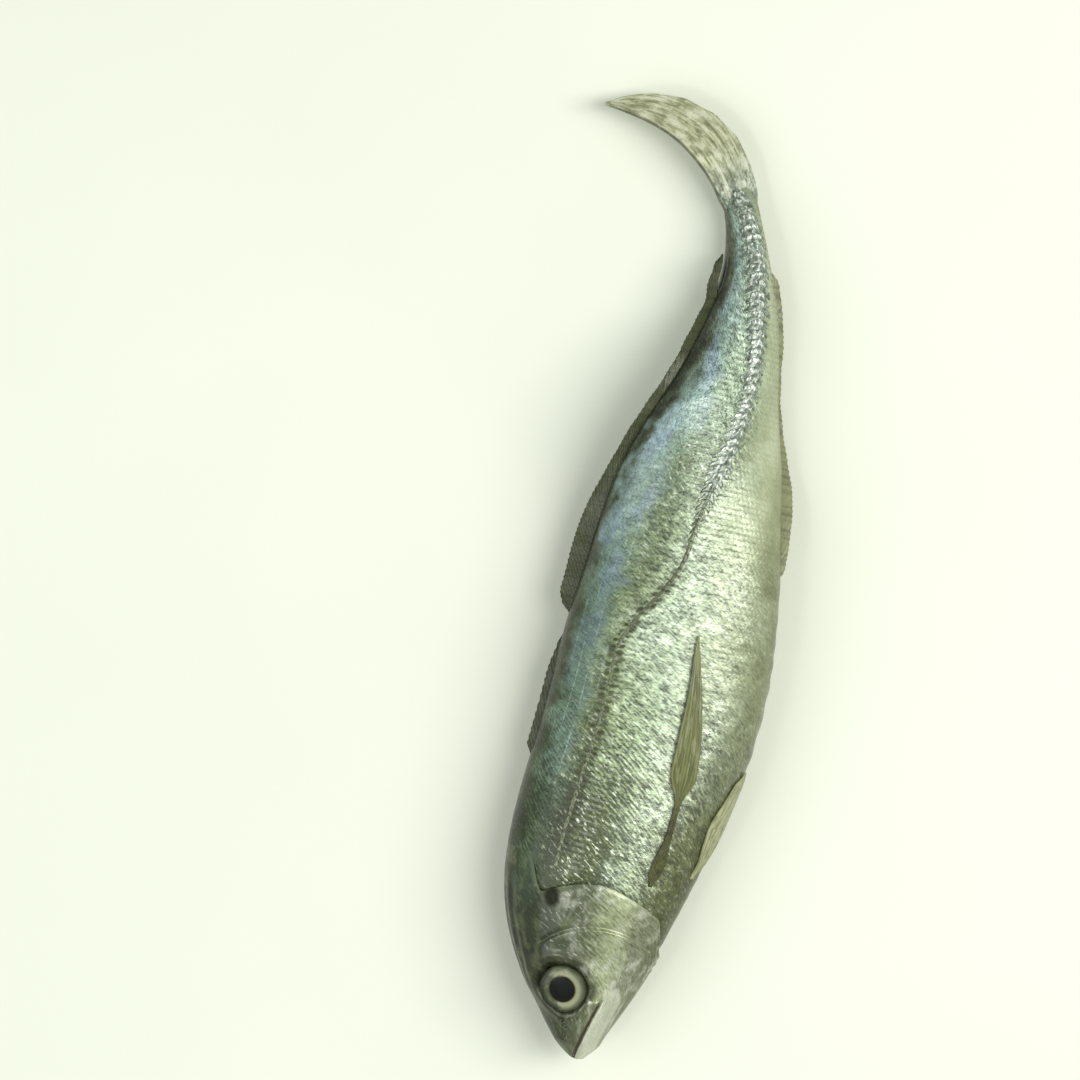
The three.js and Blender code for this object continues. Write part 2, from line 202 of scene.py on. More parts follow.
def spine_frame(place, lobe="upper"):
    """The spine's point at each place, with the directions sideways, to the back and out of the flank."""
    place = np.asarray(place, dtype=float)
    x, y = (np.interp(place, SPINE_PLACES, line) for line in WALKS[lobe])
    angle = heading(place, TAIL_BEND[lobe])
    height = SPINE_HEIGHT - TAIL_DROOP[2] * smooth(TAIL_DROOP[0], TAIL_DROOP[1], place)
    twist = 0.0
    for low, high, degrees in TWISTS:
        twist = twist + np.radians(degrees) * smooth(low, high, place)
    zero = np.zeros_like(place)
    point = np.stack([x, y, height + zero], -1)
    side = np.stack([-np.cos(angle), np.sin(angle), zero], -1)
    up = np.stack([zero, zero, zero + 1], -1)
    cos, sin = np.cos(twist)[..., None], np.sin(twist)[..., None]
    return point, side, side * cos + up * sin, up * cos - side * sin


# The skin

def gill_edge(level):
    curve = GILL["curve"] * np.abs(level - GILL["level"]) ** 1.6
    return GILL["place"] - curve - GILL["throat"] * smooth(0.75, 1, -level)


def below_nape(level):
    """1 on the flank and 0 on the nape, where the gill cover's edge ends."""
    return 1 - smooth(GILL["top"] - 0.12, GILL["top"] + 0.12, level)


def lateral_level(place):
    return LATERAL["level"] * (1 - smooth(LATERAL["from"], LATERAL["to"], place))


def depth_at(place, level):
    """Half the body's depth, to the back for a level above 0 and else to the belly."""
    return np.where(level > 0, station_value(place, BACK), station_value(place, BELLY))


def skin(place, angle, lift=0.0):
    """A point on the plain skin. Angle 0 is the back, a quarter turn the left flank."""
    point, _, back, flank = spine_frame(place)
    level, across = np.cos(angle), np.sin(angle)
    depth = depth_at(place, level)
    thickness = station_value(place, THICKNESS)
    keel = 1 - np.where(level > 0, 0.05, 0.13) * level**2
    outward = np.sign(across) * np.abs(across) ** 0.9 * keel
    to_back, to_flank = level / depth, across / thickness
    size = np.hypot(to_back, to_flank)
    along_back = level * depth + to_back / size * lift
    along_flank = outward * thickness + to_flank / size * lift
    p = point + back * along_back[..., None] + flank * along_flank[..., None]
    p[..., 2] = np.maximum(p[..., 2], 0)
    return p


def wavy(place, angle, seed, size):
    """Soft uneven waves over the skin, from a few sines with seeded phases."""
    draw = np.random.default_rng(seed)
    total = 0.0
    for _ in range(6):
        turn = draw.uniform(0, 2 * math.pi)
        along, around = math.cos(turn) / size, round(17 * math.sin(turn) / size)
        total = total + np.sin(along * place * 2 + around * angle + draw.uniform(0, 6.28))
    return total / 6


def eye_distance(place, level):
    depth = station_value(np.float64(EYE["place"]), BACK)
    return np.hypot(place - EYE["place"], (level - EYE["level"]) * depth)


def mouth_line(place):
    t = np.clip(place / MOUTH["length"], 0, 1)
    return mix(MOUTH["front"], MOUTH["back"], t**1.2)


def above_mouth(place, level):
    """Millimetres from the mouth line toward the back."""
    return level * depth_at(place, level) - mouth_line(place)


def head_relief(place, angle):
    """Heights of the head's bones, lids, jaws and pores over the plain skin."""
    level = np.cos(angle)
    edge = gill_edge(level)
    fade = below_nape(level)
    throat = 1 - smooth(0.8, 0.98, -level)
    height = GILL["lift"] * fade * smooth(edge - 24, edge - 2, place)
    cheek = CHEEK["place"] - CHEEK["curve"] * (level - CHEEK["level"]) ** 2
    plate = between((cheek - 9, cheek - 1), (cheek, cheek + 0.9), place)
    height += CHEEK["lift"] * plate * throat * fade
    height -= 0.22 * bump(cheek + 1.2, 0.5, place) * fade * throat
    # Sutures between the bones of the gill cover, with faint rays on its plates
    suture = bump(-0.42 - 0.014 * (place - 40), 0.02, level)
    height -= 0.2 * suture * between((cheek + 1, cheek + 3), (edge - 3, edge - 1), place)
    rays = np.sin(34 * np.arctan2(level - 0.35, (place - 33) / 17))
    height += 0.022 * rays * smooth(cheek + 2, cheek + 5, place) * fade
    # Membrane folds under the throat
    low = smooth(0.55, 0.75, -level)
    height += 0.16 * low * smooth(22, 28, place) * np.sin((edge - place) * TURN / 2.3)
    # Eye socket, fatty lids and the hollow in front of the cheek
    from_eye = eye_distance(place, level)
    height += EYE["rim"] * bump(EYE["radius"] + 1.4, 1.6, from_eye)
    height -= 1.6 * (1 - smooth(EYE["radius"] - 1.2, EYE["radius"] + 0.5, from_eye))
    height -= 0.35 * bump(16, 5, place) * bump(-0.12, 0.12, level)
    # Jaws
    above = above_mouth(place, level)
    reach = 1 - smooth(MOUTH["length"] - 1.5, MOUTH["length"] + 1, place)
    height -= 1.9 * reach * bump(0, 0.38, above) * smooth(-1, 1.5, place)
    upper_plate = smooth(0.2, 0.7, above) * (1 - smooth(3.2, 3.9, above - 0.08 * place))
    height += 0.5 * upper_plate * between((2, 6), (15.5, 17), place)
    height += 0.35 * between((0.2, 0.8), (5.4, 6.6), -above) * between((1, 4), (18, 21), place)
    # Nostrils
    for nostril_place, nostril_level in ((9.2, 0.43), (10.9, 0.47)):
        gap = np.hypot(place - nostril_place, (level - nostril_level) * 9.4)
        height -= 0.9 * bump(0, 0.5, gap)
        height += 0.18 * bump(0.95, 0.3, gap)
    # Skull ridges on the nape
    height += 0.12 * smooth(0.7, 0.9, level) * between((14, 22), (40, 50), place) * np.sin(angle * 26)
    return height + 0.1 * wavy(place, angle, 5, 9) * smooth(6, 14, place)


def jaw_parts(place, level):
    """1 on the plate of the upper jaw and -1 along the lower jaw."""
    above = above_mouth(place, level)
    upper = smooth(0.2, 0.7, above) * (1 - smooth(2.6, 3.6, above - 0.08 * place))
    upper = upper * (1 - smooth(15, 17.5, place))
    lower = between((0.2, 0.8), (4.0, 6.0), -above) * (1 - smooth(17, 23, place))
    return upper - lower


def trunk_relief(place, angle):
    """Slack belly, faint muscle folds, and the sunken skin behind the gill cover."""
    level = np.cos(angle)
    edge = gill_edge(level)
    fade = below_nape(level)
    height = -0.55 * fade * (1 - smooth(edge - 1, edge + 4, place))
    height -= 0.6 * (1 - fade) * (1 - smooth(46, 53, place))
    fold = np.abs(((level - lateral_level(place)) * 2.2) % 2 - 1)
    muscles = np.sin((place + 7 * fold) * TURN / 6.1)
    side = 1 - smooth(0.75, 0.95, np.abs(level))
    height += 0.06 * muscles * side * between((60, 90), (200, 225), place)
    height += 0.22 * wavy(place, angle, 11, 16) * between((55, 80), (205, 230), place)
    slack = smooth(0.5, 0.85, -level)
    height += 0.16 * slack * np.sin(place * 0.9 + 3 * wavy(place, angle, 3, 10)) * bump(95, 35, place)
    groove = bump(0, 0.05, angle_from_back(angle)) * between((72, 80), (215, 225), place)
    return height - 0.5 * groove


def angle_from_back(angle):
    return np.abs((angle + math.pi) % (2 * math.pi) - math.pi)


# Meshes

def mesh_object(name, points, face_groups, uvs, attributes):
    """A smooth mesh. A group of faces is an array with a row of corner numbers for each face."""
    mesh = bpy.data.meshes.new(name)
    mesh.vertices.add(len(points))
    inside = np.clip(points * MM, BOX_LOW, BOX_HIGH)
    mesh.vertices.foreach_set("co", inside.astype(np.float32).ravel())
    corners = np.concatenate([group.ravel() for group in face_groups])
    sizes = np.concatenate([np.full(len(group), group.shape[1]) for group in face_groups])
    mesh.loops.add(len(corners))
    mesh.polygons.add(len(sizes))
    mesh.loops.foreach_set("vertex_index", corners.astype(np.int32))
    starts = np.concatenate([[0], np.cumsum(sizes)[:-1]])
    mesh.polygons.foreach_set("loop_start", starts.astype(np.int32))
    mesh.polygons.foreach_set("loop_total", sizes.astype(np.int32))
    mesh.polygons.foreach_set("use_smooth", np.ones(len(sizes), dtype=bool))
    layer = mesh.uv_layers.new(name="SkinMap")
    layer.data.foreach_set("uv", uvs.astype(np.float32).ravel())
    for key, values in attributes.items():
        attribute = mesh.attributes.new(key, "FLOAT", "POINT")
        attribute.data.foreach_set("value", values.astype(np.float32).ravel())
    mesh.update(calc_edges=True)
    mesh.validate()
    made = bpy.data.objects.new(name, mesh)
    bpy.context.scene.collection.objects.link(made)
    return made


def tube_mesh(name, points, map_u, map_v, attributes, cap_start=False, cap_end=False):
    """A mesh over rings of points whose last column meets the first. The map keeps its own seam."""
    rings, count = points.shape[:2]
    i, j = np.meshgrid(np.arange(rings - 1), np.arange(count), indexing="ij")
    after = (j + 1) % count
    quads = np.stack([i * count + j, i * count + after, (i + 1) * count + after, (i + 1) * count + j], -1)
    corner_ring = np.stack([i, i, i + 1, i + 1], -1).ravel()
    corner_column = np.stack([j, j + 1, j + 1, j], -1).ravel()
    groups = [quads.reshape(-1, 4)]
    uvs = [np.stack([map_u[corner_ring, corner_column], map_v[corner_ring, corner_column]], -1)]
    flat = points.reshape(-1, 3)
    values = {key: value.reshape(-1) for key, value in attributes.items()}
    for wanted, ring, turned in ((cap_start, 0, True), (cap_end, rings - 1, False)):
        if not wanted:
            continue
        a = ring * count + np.arange(count)
        b = ring * count + (np.arange(count) + 1) % count
        centre = np.full(count, len(flat))
        groups.append(np.stack([b, a, centre] if turned else [a, b, centre], -1))
        uvs.append(np.repeat(np.stack([map_u[ring, :count], map_v[ring, :count]], -1), 3, axis=0))
        flat = np.vstack([flat, points[ring].mean(0)])
        values = {key: np.append(value, attributes[key][ring].mean()) for key, value in values.items()}
    return mesh_object(name, flat, groups, np.vstack(uvs), values)


def sheet_mesh(name, middle, thickness, attributes):
    """A thin closed sheet round a grid of middle points, both faces split alike."""
    along = np.gradient(middle, axis=0)
    across = np.gradient(middle, axis=1)
    normal = np.cross(along, across)
    normal /= np.maximum(np.linalg.norm(normal, axis=-1, keepdims=True), 1e-9)
    upper = middle + normal * (thickness / 2)[..., None]
    lower = middle - normal * (thickness / 2)[..., None]
    rows, columns = middle.shape[:2]
    count = rows * columns
    i, j = np.meshgrid(np.arange(rows - 1), np.arange(columns - 1), indexing="ij")
    a = i * columns + j
    quads = np.stack([a, a + columns, a + columns + 1, a + 1], -1).reshape(-1, 4)
    under = quads[:, ::-1] + count
    border = np.concatenate([
        np.arange(columns),
        columns - 1 + columns * np.arange(1, rows),
        (rows - 1) * columns + np.arange(columns - 2, -1, -1),
        columns * np.arange(rows - 2, 0, -1),
    ])
    after = np.roll(border, -1)
    rim = np.stack([border, after, after + count, border + count], -1)
    faces = np.vstack([quads, under, rim])
    points = np.vstack([upper.reshape(-1, 3), lower.reshape(-1, 3)])
    points[:, 2] = np.maximum(points[:, 2], 0.02)
    values = {key: np.tile(np.broadcast_to(v, middle.shape[:2]).ravel(), 2) for key, v in attributes.items()}
    plane = np.stack([values["along"], values["across"]], -1)
    return mesh_object(name, points, [faces], plane[faces.ravel()], values)


# Node helpers

def linear(colour):
    """A colour given as 0 to 255 screen values, as the shader reads it."""
    c = np.asarray(colour, dtype=float) / 255
    c = np.where(c <= 0.04045, c / 12.92, ((c + 0.055) / 1.055) ** 2.4)
    return (*[float(v) for v in c], 1.0)


class Nodes:
    """Short calls for building one material's node tree."""

    def __init__(self, name):
        self.material = bpy.data.materials.new(name)
        self.material.use_nodes = True
        self.tree = self.material.node_tree
        self.shader = self.tree.nodes["Principled BSDF"]

    def put(self, socket, value):
        if isinstance(value, bpy.types.NodeSocket):
            self.tree.links.new(value, socket)
        else:
            socket.default_value = value

    def node(self, kind, output, inputs, **settings):
        """The output asked for of a new node with these inputs and settings."""
        made = self.tree.nodes.new("ShaderNode" + kind)
        for key, value in settings.items():
            setattr(made, key, value)
        for key, value in inputs.items():
            self.put(made.inputs[key], value)
        return made.outputs[output]

    def read(self, name):
        return self.node("Attribute", "Fac", {}, attribute_name=name)

    def uv_axis(self, axis):
        """The map's coordinate along (X) or round (Y) the body, in centimetres."""
        return self.node("SeparateXYZ", axis, {0: self.node("UVMap", "UV", {}, uv_map="SkinMap")})

    def uv(self, scale_u=1.0, scale_v=1.0, shear=0.0):
        u = self.times(self.uv_axis("X"), scale_u)
        v = self.times(self.uv_axis("Y"), scale_v)
        if shear:
            u = self.plus(self.uv_axis("Y"), shear * scale_v, u)
        return self.node("CombineXYZ", 0, {"X": u, "Y": v})

    def maths(self, operation, a, b=0.0, c=0.0, clamp=False):
        return self.node("Math", 0, {0: a, 1: b, 2: c}, operation=operation, use_clamp=clamp)

    def band(self, value, low, high, out_low=0.0, out_high=1.0):
        """A soft step between two outputs while the value goes from low to high."""
        inputs = {"Value": value, "From Min": low, "From Max": high, "To Min": out_low, "To Max": out_high}
        return self.node("MapRange", "Result", inputs, interpolation_type="SMOOTHSTEP")

    def ramp(self, value, stops):
        made = self.tree.nodes.new("ShaderNodeValToRGB")
        elements = made.color_ramp.elements
        while len(elements) < len(stops):
            elements.new(0.5)
        for element, (place, colour) in zip(elements, stops):
            element.position = place
            element.color = linear(colour)
        self.put(made.inputs["Fac"], value)
        return made.outputs["Color"]

    def blend(self, fac, a, b, kind="MIX"):
        inputs = {"Factor": fac, "A": a, "B": b}
        return self.node("Mix", "Result", inputs, data_type="RGBA", blend_type=kind)

    def noise(self, vector, scale, detail=3.0, rough=0.55, dims="2D"):
        inputs = {"Vector": vector, "Scale": scale, "Detail": detail, "Roughness": rough}
        return self.node("TexNoise", "Fac", inputs, noise_dimensions=dims)

    def cells(self, vector, scale, random):
        inputs = {"Vector": vector, "Scale": scale, "Randomness": random}
        return self.node("TexVoronoi", "Distance", inputs, voronoi_dimensions="2D")

    def bump(self, height, distance):
        return self.node("Bump", "Normal", {"Height": height, "Distance": distance})

    def times(self, value, *factors):
        for factor in factors:
            value = self.maths("MULTIPLY", value, factor)
        return value

    def plus(self, value, factor, base):
        """The value times the factor, added to the base."""
        return self.maths("MULTIPLY_ADD", value, factor, base)

    def minus(self, value, other):
        return self.maths("SUBTRACT", value, other)

    def paint(self, cover, under, screen_colour, kind="MIX"):
        """A screen colour laid over another colour as far as the cover says."""
        return self.blend(cover, under, linear(screen_colour), kind)

    def finish(self, **sockets):
        for key, value in sockets.items():
            self.put(self.shader.inputs[key.replace("_", " ")], value)
        return self.material


# Materials

# Screen colours read off the fish, from the belly edge (-1) to the back (1)
FRONT_COLOURS = [
    (-1.0, (118, 122, 94)),
    (-0.84, (156, 162, 136)),
    (-0.5, (180, 189, 168)),
    (-0.2, (172, 184, 163)),
    (0.1, (160, 174, 148)),
    (0.34, (138, 152, 118)),
    (0.56, (120, 136, 106)),
    (0.68, (108, 128, 119)),
    (0.84, (106, 127, 114)),
    (0.92, (62, 74, 46)),
    (1.0, (34, 40, 20)),
]
# In the rear ramp the paler blue from 0.6 to 0.89 is the back's own blue with a painted sheen in it
REAR_COLOURS = [
    (-1.0, (132, 134, 104)),
    (-0.7, (182, 187, 162)),
    (-0.3, (168, 176, 155)),
    (-0.05, (136, 145, 122)),
    (0.14, (132, 144, 124)),
    (0.3, (125, 138, 119)),
    (0.46, (117, 131, 113)),
    (0.6, (125, 143, 131)),
    (0.74, (144, 165, 169)),
    (0.89, (130, 150, 156)),
    (0.96, (66, 76, 60)),
    (1.0, (38, 42, 28)),
]
STALK_COLOURS = [
    (-1.0, (126, 130, 102)),
    (-0.5, (176, 184, 160)),
    (0.0, (166, 181, 160)),
    (0.4, (176, 195, 182)),
    (0.75, (152, 174, 174)),
    (0.9, (96, 108, 90)),
    (1.0, (40, 44, 28)),
]
HEAD_COLOURS = [
    (-1.0, (142, 146, 116)),
    (-0.75, (188, 192, 166)),
    (-0.35, (176, 182, 154)),
    (0.0, (156, 163, 132)),
    (0.3, (130, 139, 107)),
    (0.5, (92, 102, 74)),
    (0.7, (66, 76, 52)),
    (1.0, (38, 43, 27)),
]
TAIL_ROOT = (146, 160, 140)
GAIN_TINT = (0.99, 1.025, 0.93)
# Colour of the painted highlight on the silver below the lateral line
PAINTED_HIGHLIGHT = (212, 225, 210)
LINE_BROWN = (76, 86, 26)
LINE_DOT = (52, 56, 18)
SEAM_PALE = (172, 190, 196)
# Colour of the painted violet sheen on the blue band
PAINTED_VIOLET_SHEEN = (128, 142, 186)
OLIVE_CAST = (222, 220, 180)
CLOUD = (196, 198, 168)
# Colour of the painted glints on the scales
PAINTED_GLINT = (238, 243, 232)
FLECK_DARK = (62, 76, 62)
SPOT_DARK = (24, 28, 12)
SPECK_RED = (104, 66, 42)
UPPER_JAW = (84, 90, 60)
LOWER_JAW = (212, 216, 196)
SOCKET_DARK = (58, 62, 40)
PEARL = (214, 217, 203)
STAIN_OLIVE = (104, 112, 78)

# Each fin's ray colour, membrane colour and the membrane's opacity
FIN_LOOKS = {
    "fin_tail": ((156, 159, 122), (214, 217, 182), 0.9),
    "fin_folded": ((42, 50, 20), (68, 77, 36), 0.72),
    "fin_anal": ((132, 136, 92), (164, 168, 124), 0.7),
    "fin_pectoral": ((80, 86, 38), (134, 140, 82), 0.85),
    "fin_pelvic": ((148, 151, 106), (194, 198, 160), 0.8),
}
FIN_STAIN = (146, 148, 112)
FIN_PALE_PATCH = (226, 228, 204)
FIN_DARK_PATCH = (98, 104, 70)
FIN_EDGE = (58, 58, 34)
FIN_FLECK = (66, 66, 40)
TAIL_SCALES = [(0.36, (92, 106, 92)), (0.5, TAIL_ROOT), (0.64, (214, 222, 206))]
# Pectoral root: a dark tone and its painted glints
PECTORAL_ROOT = [(0.42, (44, 48, 18)), (0.66, (112, 114, 62))]

SCUTE_LARGE = [(0.32, (66, 76, 64)), (0.5, (112, 125, 110)), (0.68, (168, 181, 170))]
SCUTE_SMALL = [(0.35, (60, 66, 40)), (0.65, (116, 124, 94))]
# Colour of the painted highlight on the plates' crests
SCUTE_PAINTED_HIGHLIGHT = (236, 241, 230)

# From the middle of the eye (0) to its rim (1)
IRIS = [
    (0.0, (8, 9, 10)),
    (0.52, (9, 11, 11)),
    (0.555, (150, 142, 96)),
    (0.6, (198, 196, 164)),
    (0.72, (186, 189, 164)),
    (0.8, (138, 142, 112)),
    (0.9, (84, 90, 64)),
    (1.0, (46, 50, 36)),
]
IRIS_SHADE = (84, 92, 74)
CORNEA_CLEAR = (236, 240, 232)
# Mouth lining, dark partly as painted shade in the gape
MOUTH_LINING_IN_SHADE = [(0.3, (42, 34, 26)), (0.7, (78, 60, 46))]
FLOOR = [(0.3, (226, 229, 215)), (0.7, (230, 233, 219))]


def on_ramp(n, value, colours):
    """A ramp over levels from -1 to 1."""
    fac = n.maths("MULTIPLY_ADD", value, 0.5, 0.5, clamp=True)
    return n.ramp(fac, [((level + 1) / 2, colour) for level, colour in colours])


def brighten(n, colour, gain):
    """The colour times the gain, with the cast of the photograph's light."""
    parts = {index: n.times(gain, part) for index, part in enumerate(GAIN_TINT)}
    return n.blend(1.0, colour, n.node("CombineColor", 0, parts), "MULTIPLY")


class SkinNodes(Nodes):
    """One skin's nodes, with the values that every layer of its look reads."""

    def __init__(self, name, head):
        super().__init__(name)
        self.head = head
        self.level = self.read("level")
        self.place = self.read("place")
        self.tone = self.read("tone")
        self.rim = self.read("rim")
        self.wander = self.minus(self.noise(self.uv(), 1.3, 5, 0.6), 0.5)
        self.soft = self.plus(self.wander, 0.34, self.level)
        self.line = self.along(LATERAL["from"], LATERAL["to"], LATERAL["level"], 0.0)
        self.below_line = self.minus(self.line, self.soft)
        self.grain = self.noise(self.uv(1.0, 0.42, shear=2.1), 17, 3, 0.68)
        self.mottle = self.noise(self.uv(1.0, 0.62, shear=0.7), 4.2, 5, 0.66)
        self.collar = self.times(self.along(80, 60), self.up(-0.05, 0.2))
        if head:
            self.nape = self.times(self.along(36, 49), self.up(0.42, 0.66))

    def along(self, low, high, *ends):
        """A soft step along the spine."""
        return self.band(self.place, low, high, *ends)

    def up(self, low, high, *ends):
        """A soft, wandering step from belly to back."""
        return self.band(self.soft, low, high, *ends)


def flank_colour(n):
    """The ramps of front, rear and stalk, a painted highlight below the line, and the head's own ramp."""
    front, rear = on_ramp(n, n.soft, FRONT_COLOURS), on_ramp(n, n.soft, REAR_COLOURS)
    colour = n.blend(n.along(112, 168), front, rear)
    colour = n.blend(n.along(166, 204), colour, on_ramp(n, n.soft, STALK_COLOURS))
    # Painted highlight: the silver just below the lateral line made paler
    near_line = n.times(n.up(-0.4, 0.1), n.band(n.below_line, -0.3, 0.02))
    painted_highlight = n.times(n.along(96, 118), n.along(176, 136), near_line, 0.52)
    colour = n.paint(painted_highlight, colour, PAINTED_HIGHLIGHT)
    if n.head:
        colour = n.blend(n.nape, on_ramp(n, n.soft, HEAD_COLOURS), colour)
    return colour


def add_line_stripe(n, colour):
    """A blotched brown stripe at the lateral line, fading and rising toward the tail."""
    over_line = n.minus(n.plus(n.wander, 0.16, n.level), n.line)
    over_stripe = n.minus(over_line, n.along(114, 150, 0.0, 0.42))
    width = n.times(n.band(over_stripe, -0.14, -0.03), n.band(over_stripe, 0.22, 0.07))
    length = n.times(n.along(46, 56), n.along(106, 136, 0.85, 0.24), n.along(150, 180, 1.0, 0.4))
    blotch = n.band(n.noise(n.uv(), 4.4, 3, 0.6), 0.36, 0.58, 0.35, 1.0)
    return n.paint(n.times(width, length, blotch), colour, LINE_BROWN)


def add_blue_band(n, colour):
    """Broken pale seams along the blue band, and a painted violet sheen where it turns to the light."""
    in_band = n.times(n.up(0.46, 0.64), n.up(0.95, 0.84), n.along(52, 84))
    wave = n.times(n.noise(n.uv(0.12, 0.5), 1.2, 2), 7)
    seam = n.band(n.maths("SINE", n.plus(n.uv_axis("Y"), 26, wave)), 0.93, 0.995)
    broken = n.band(n.noise(n.uv(0.35, 3), 2.0, 3), 0.42, 0.6)
    colour = n.paint(n.times(seam, broken, in_band, 0.55), colour, SEAM_PALE)
    # Painted violet sheen in patches on the blue band, stronger toward the rear
    patches = n.band(n.noise(n.uv(0.5, 1.2), 1.5, 3), 0.42, 0.66)
    violet_sheen = n.times(in_band, patches, n.along(84, 150, 0.1, 0.4), n.along(226, 200, 0.2, 1.0))
    return n.paint(violet_sheen, colour, PAINTED_VIOLET_SHEEN)


def speckle_strength(n):
    """How far the scales stand out: most on the flank, little on belly, head and rear underside."""
    smooth_belly = n.up(-0.8, -0.4, 0.3, 1.0)
    strength = n.times(n.up(0.7, 0.16, 0.5, 1.0), smooth_belly, 0.4 if n.head else 1.0,
                       n.along(106, 90, 1.0, 1.3))
    strength = n.maths("MAXIMUM", strength, n.times(n.along(168, 196), smooth_belly))
    underside = n.times(n.band(n.below_line, 0.12, 0.36), n.along(134, 156))
    return n.times(strength, n.plus(underside, -0.72, 1.0))


def speckle(n):
    """Light and dark round 0: fine grain, mottle, single scales and slanting rows in front."""
    value = n.times(n.minus(n.grain, 0.5), 2.5)
    value = n.plus(n.minus(n.mottle, 0.5), 2.1, value)
    value = n.plus(n.tone, 0.12, value)
    value = n.plus(n.rim, -0.34, value)
    slant = n.maths("ADD", n.uv_axis("Y"), n.times(n.place, 0.1))
    rows = n.maths("SINE", n.plus(slant, 46, n.times(n.mottle, 7.5)))
    return n.plus(rows, n.times(n.along(104, 84), n.up(-0.45, -0.1), 0.27), value)


def shade(n):
    """How much painted shade darkens the front flank, the collar, the fold and the low belly."""
    dim = n.times(n.along(90, 56), n.up(-0.3, 0.12, 0.0, 0.66), n.up(0.5, 0.68, 1.0, 0.3))
    dim = n.plus(n.collar, 0.27, dim)
    fold = n.times(n.along(106, 118), n.along(150, 136), n.up(0.05, -0.2))
    dim = n.plus(fold, 0.1, dim)
    return n.maths("ADD", dim, n.times(n.along(124, 60), n.up(-0.3, -0.65, 0.0, 0.54)))


def add_speckle(n, colour):
    """Light and dark of the scales with the painted shade, an olive cast behind the gill cover, painted
    glints and dark flecks.
    """
    strength = speckle_strength(n)
    # The scales' light and dark, less the painted shade
    gain = n.plus(speckle(n), strength, n.minus(1.03, shade(n)))
    colour = brighten(n, colour, n.maths("MAXIMUM", gain, 0.32))
    if n.head:
        cast = n.times(n.collar, n.nape)
    else:
        throat = n.times(n.along(90, 62), n.up(-0.35, -0.7, 0.0, 0.85))
        cast = n.maths("MAXIMUM", n.collar, throat)
    colour = n.paint(cast, colour, OLIVE_CAST, "MULTIPLY")
    # Painted glints: small bright points over the scaly skin
    glints = n.band(n.noise(n.uv(1, 0.55, shear=1.4), 13, 3, 0.6), 0.58, 0.68)
    glints = n.times(glints, strength, n.band(n.mottle, 0.4, 0.62, 0.12, 0.9), n.up(0.8, 0.5, 0.12, 1.0))
    colour = n.paint(glints, colour, PAINTED_GLINT)
    flecks = n.band(n.noise(n.uv(1.2, 1), 9.5, 3, 0.6), 0.42, 0.3)
    return n.paint(n.times(flecks, strength, n.up(-0.1, 0.35, 0.55, 0.95)), colour, FLECK_DARK)


def add_head_marks(n, colour):
    """Red-brown specks, the jaws, the eye's socket, pearly patches and olive stains."""
    specks = n.band(n.cells(n.uv(), 15, 0.9), 0.24, 0.12)
    rare = n.band(n.noise(n.uv(), 6, 2), 0.56, 0.64)
    colour = n.paint(n.times(specks, rare, n.band(n.level, 0.5, 0.2), 0.55), colour, SPECK_RED)
    jaw = n.read("jaw")
    colour = n.paint(n.band(jaw, 0.2, 0.8, 0.0, 0.7), colour, UPPER_JAW)
    colour = n.paint(n.band(jaw, -0.2, -0.8, 0.0, 0.75), colour, LOWER_JAW)
    socket = n.times(n.read("socket"), n.band(n.wander, -0.12, 0.1, 0.35, 0.9))
    colour = n.paint(socket, colour, SOCKET_DARK)
    pearl = n.band(n.noise(n.uv(0.8, 1.1), 2.6, 4, 0.6), 0.46, 0.78, 0.0, 0.55)
    colour = n.paint(n.times(pearl, n.band(n.level, 0.5, 0.1)), colour, PEARL)
    stain = n.band(n.noise(n.uv(1.0, 1.3), 1.9, 4, 0.6), 0.5, 0.34, 0.0, 0.5)
    return n.paint(n.times(stain, n.band(n.level, -0.7, 0.1)), colour, STAIN_OLIVE)


def skin_material(name, head=False):
    n = SkinNodes(name, head)
    colour = flank_colour(n)
    colour = add_line_stripe(n, colour)
    colour = add_blue_band(n, colour)
    colour = add_speckle(n, colour)
    dots = n.plus(n.wander, 0.5, n.read("dot"))
    colour = n.paint(n.band(dots, 0.2, 0.75, 0.0, 0.85), colour, LINE_DOT)
    if head:
        colour = add_head_marks(n, colour)
    cloud = n.band(n.noise(n.uv(0.6, 0.9), 1.1, 3), 0.35, 0.62, 0.0, 0.4)
    colour = n.paint(cloud, colour, CLOUD, "MULTIPLY")
    spot_edge = n.plus(n.minus(n.mottle, 0.5), 0.9, n.read("spot"))
    spot = n.times(n.band(spot_edge, 0.2, 0.85), 0.93)
    colour = n.paint(spot, colour, SPOT_DARK)
    stalk_end = n.band(n.plus(n.wander, 14, n.place), 230, 242, 0.0, 0.35)
    colour = n.paint(stalk_end, colour, TAIL_ROOT)

    relief = n.plus(n.grain, 0.7, n.times(n.rim, -0.35))
    rough = n.band(n.plus(n.tone, 0.05, n.grain), 0.3, 0.7, 0.24, 0.44)
    # The dark spot shines less than the silver round it
    return n.finish(Base_Color=colour, Metallic=n.plus(spot, -0.3, 0.3), Roughness=rough,
                    Normal=n.bump(relief, 0.00007 if head else 0.00014),
                    Coat_Weight=n.plus(spot, -0.26, 0.28), Coat_Roughness=0.11,
                    Specular_IOR_Level=n.plus(spot, -0.4, 0.45))


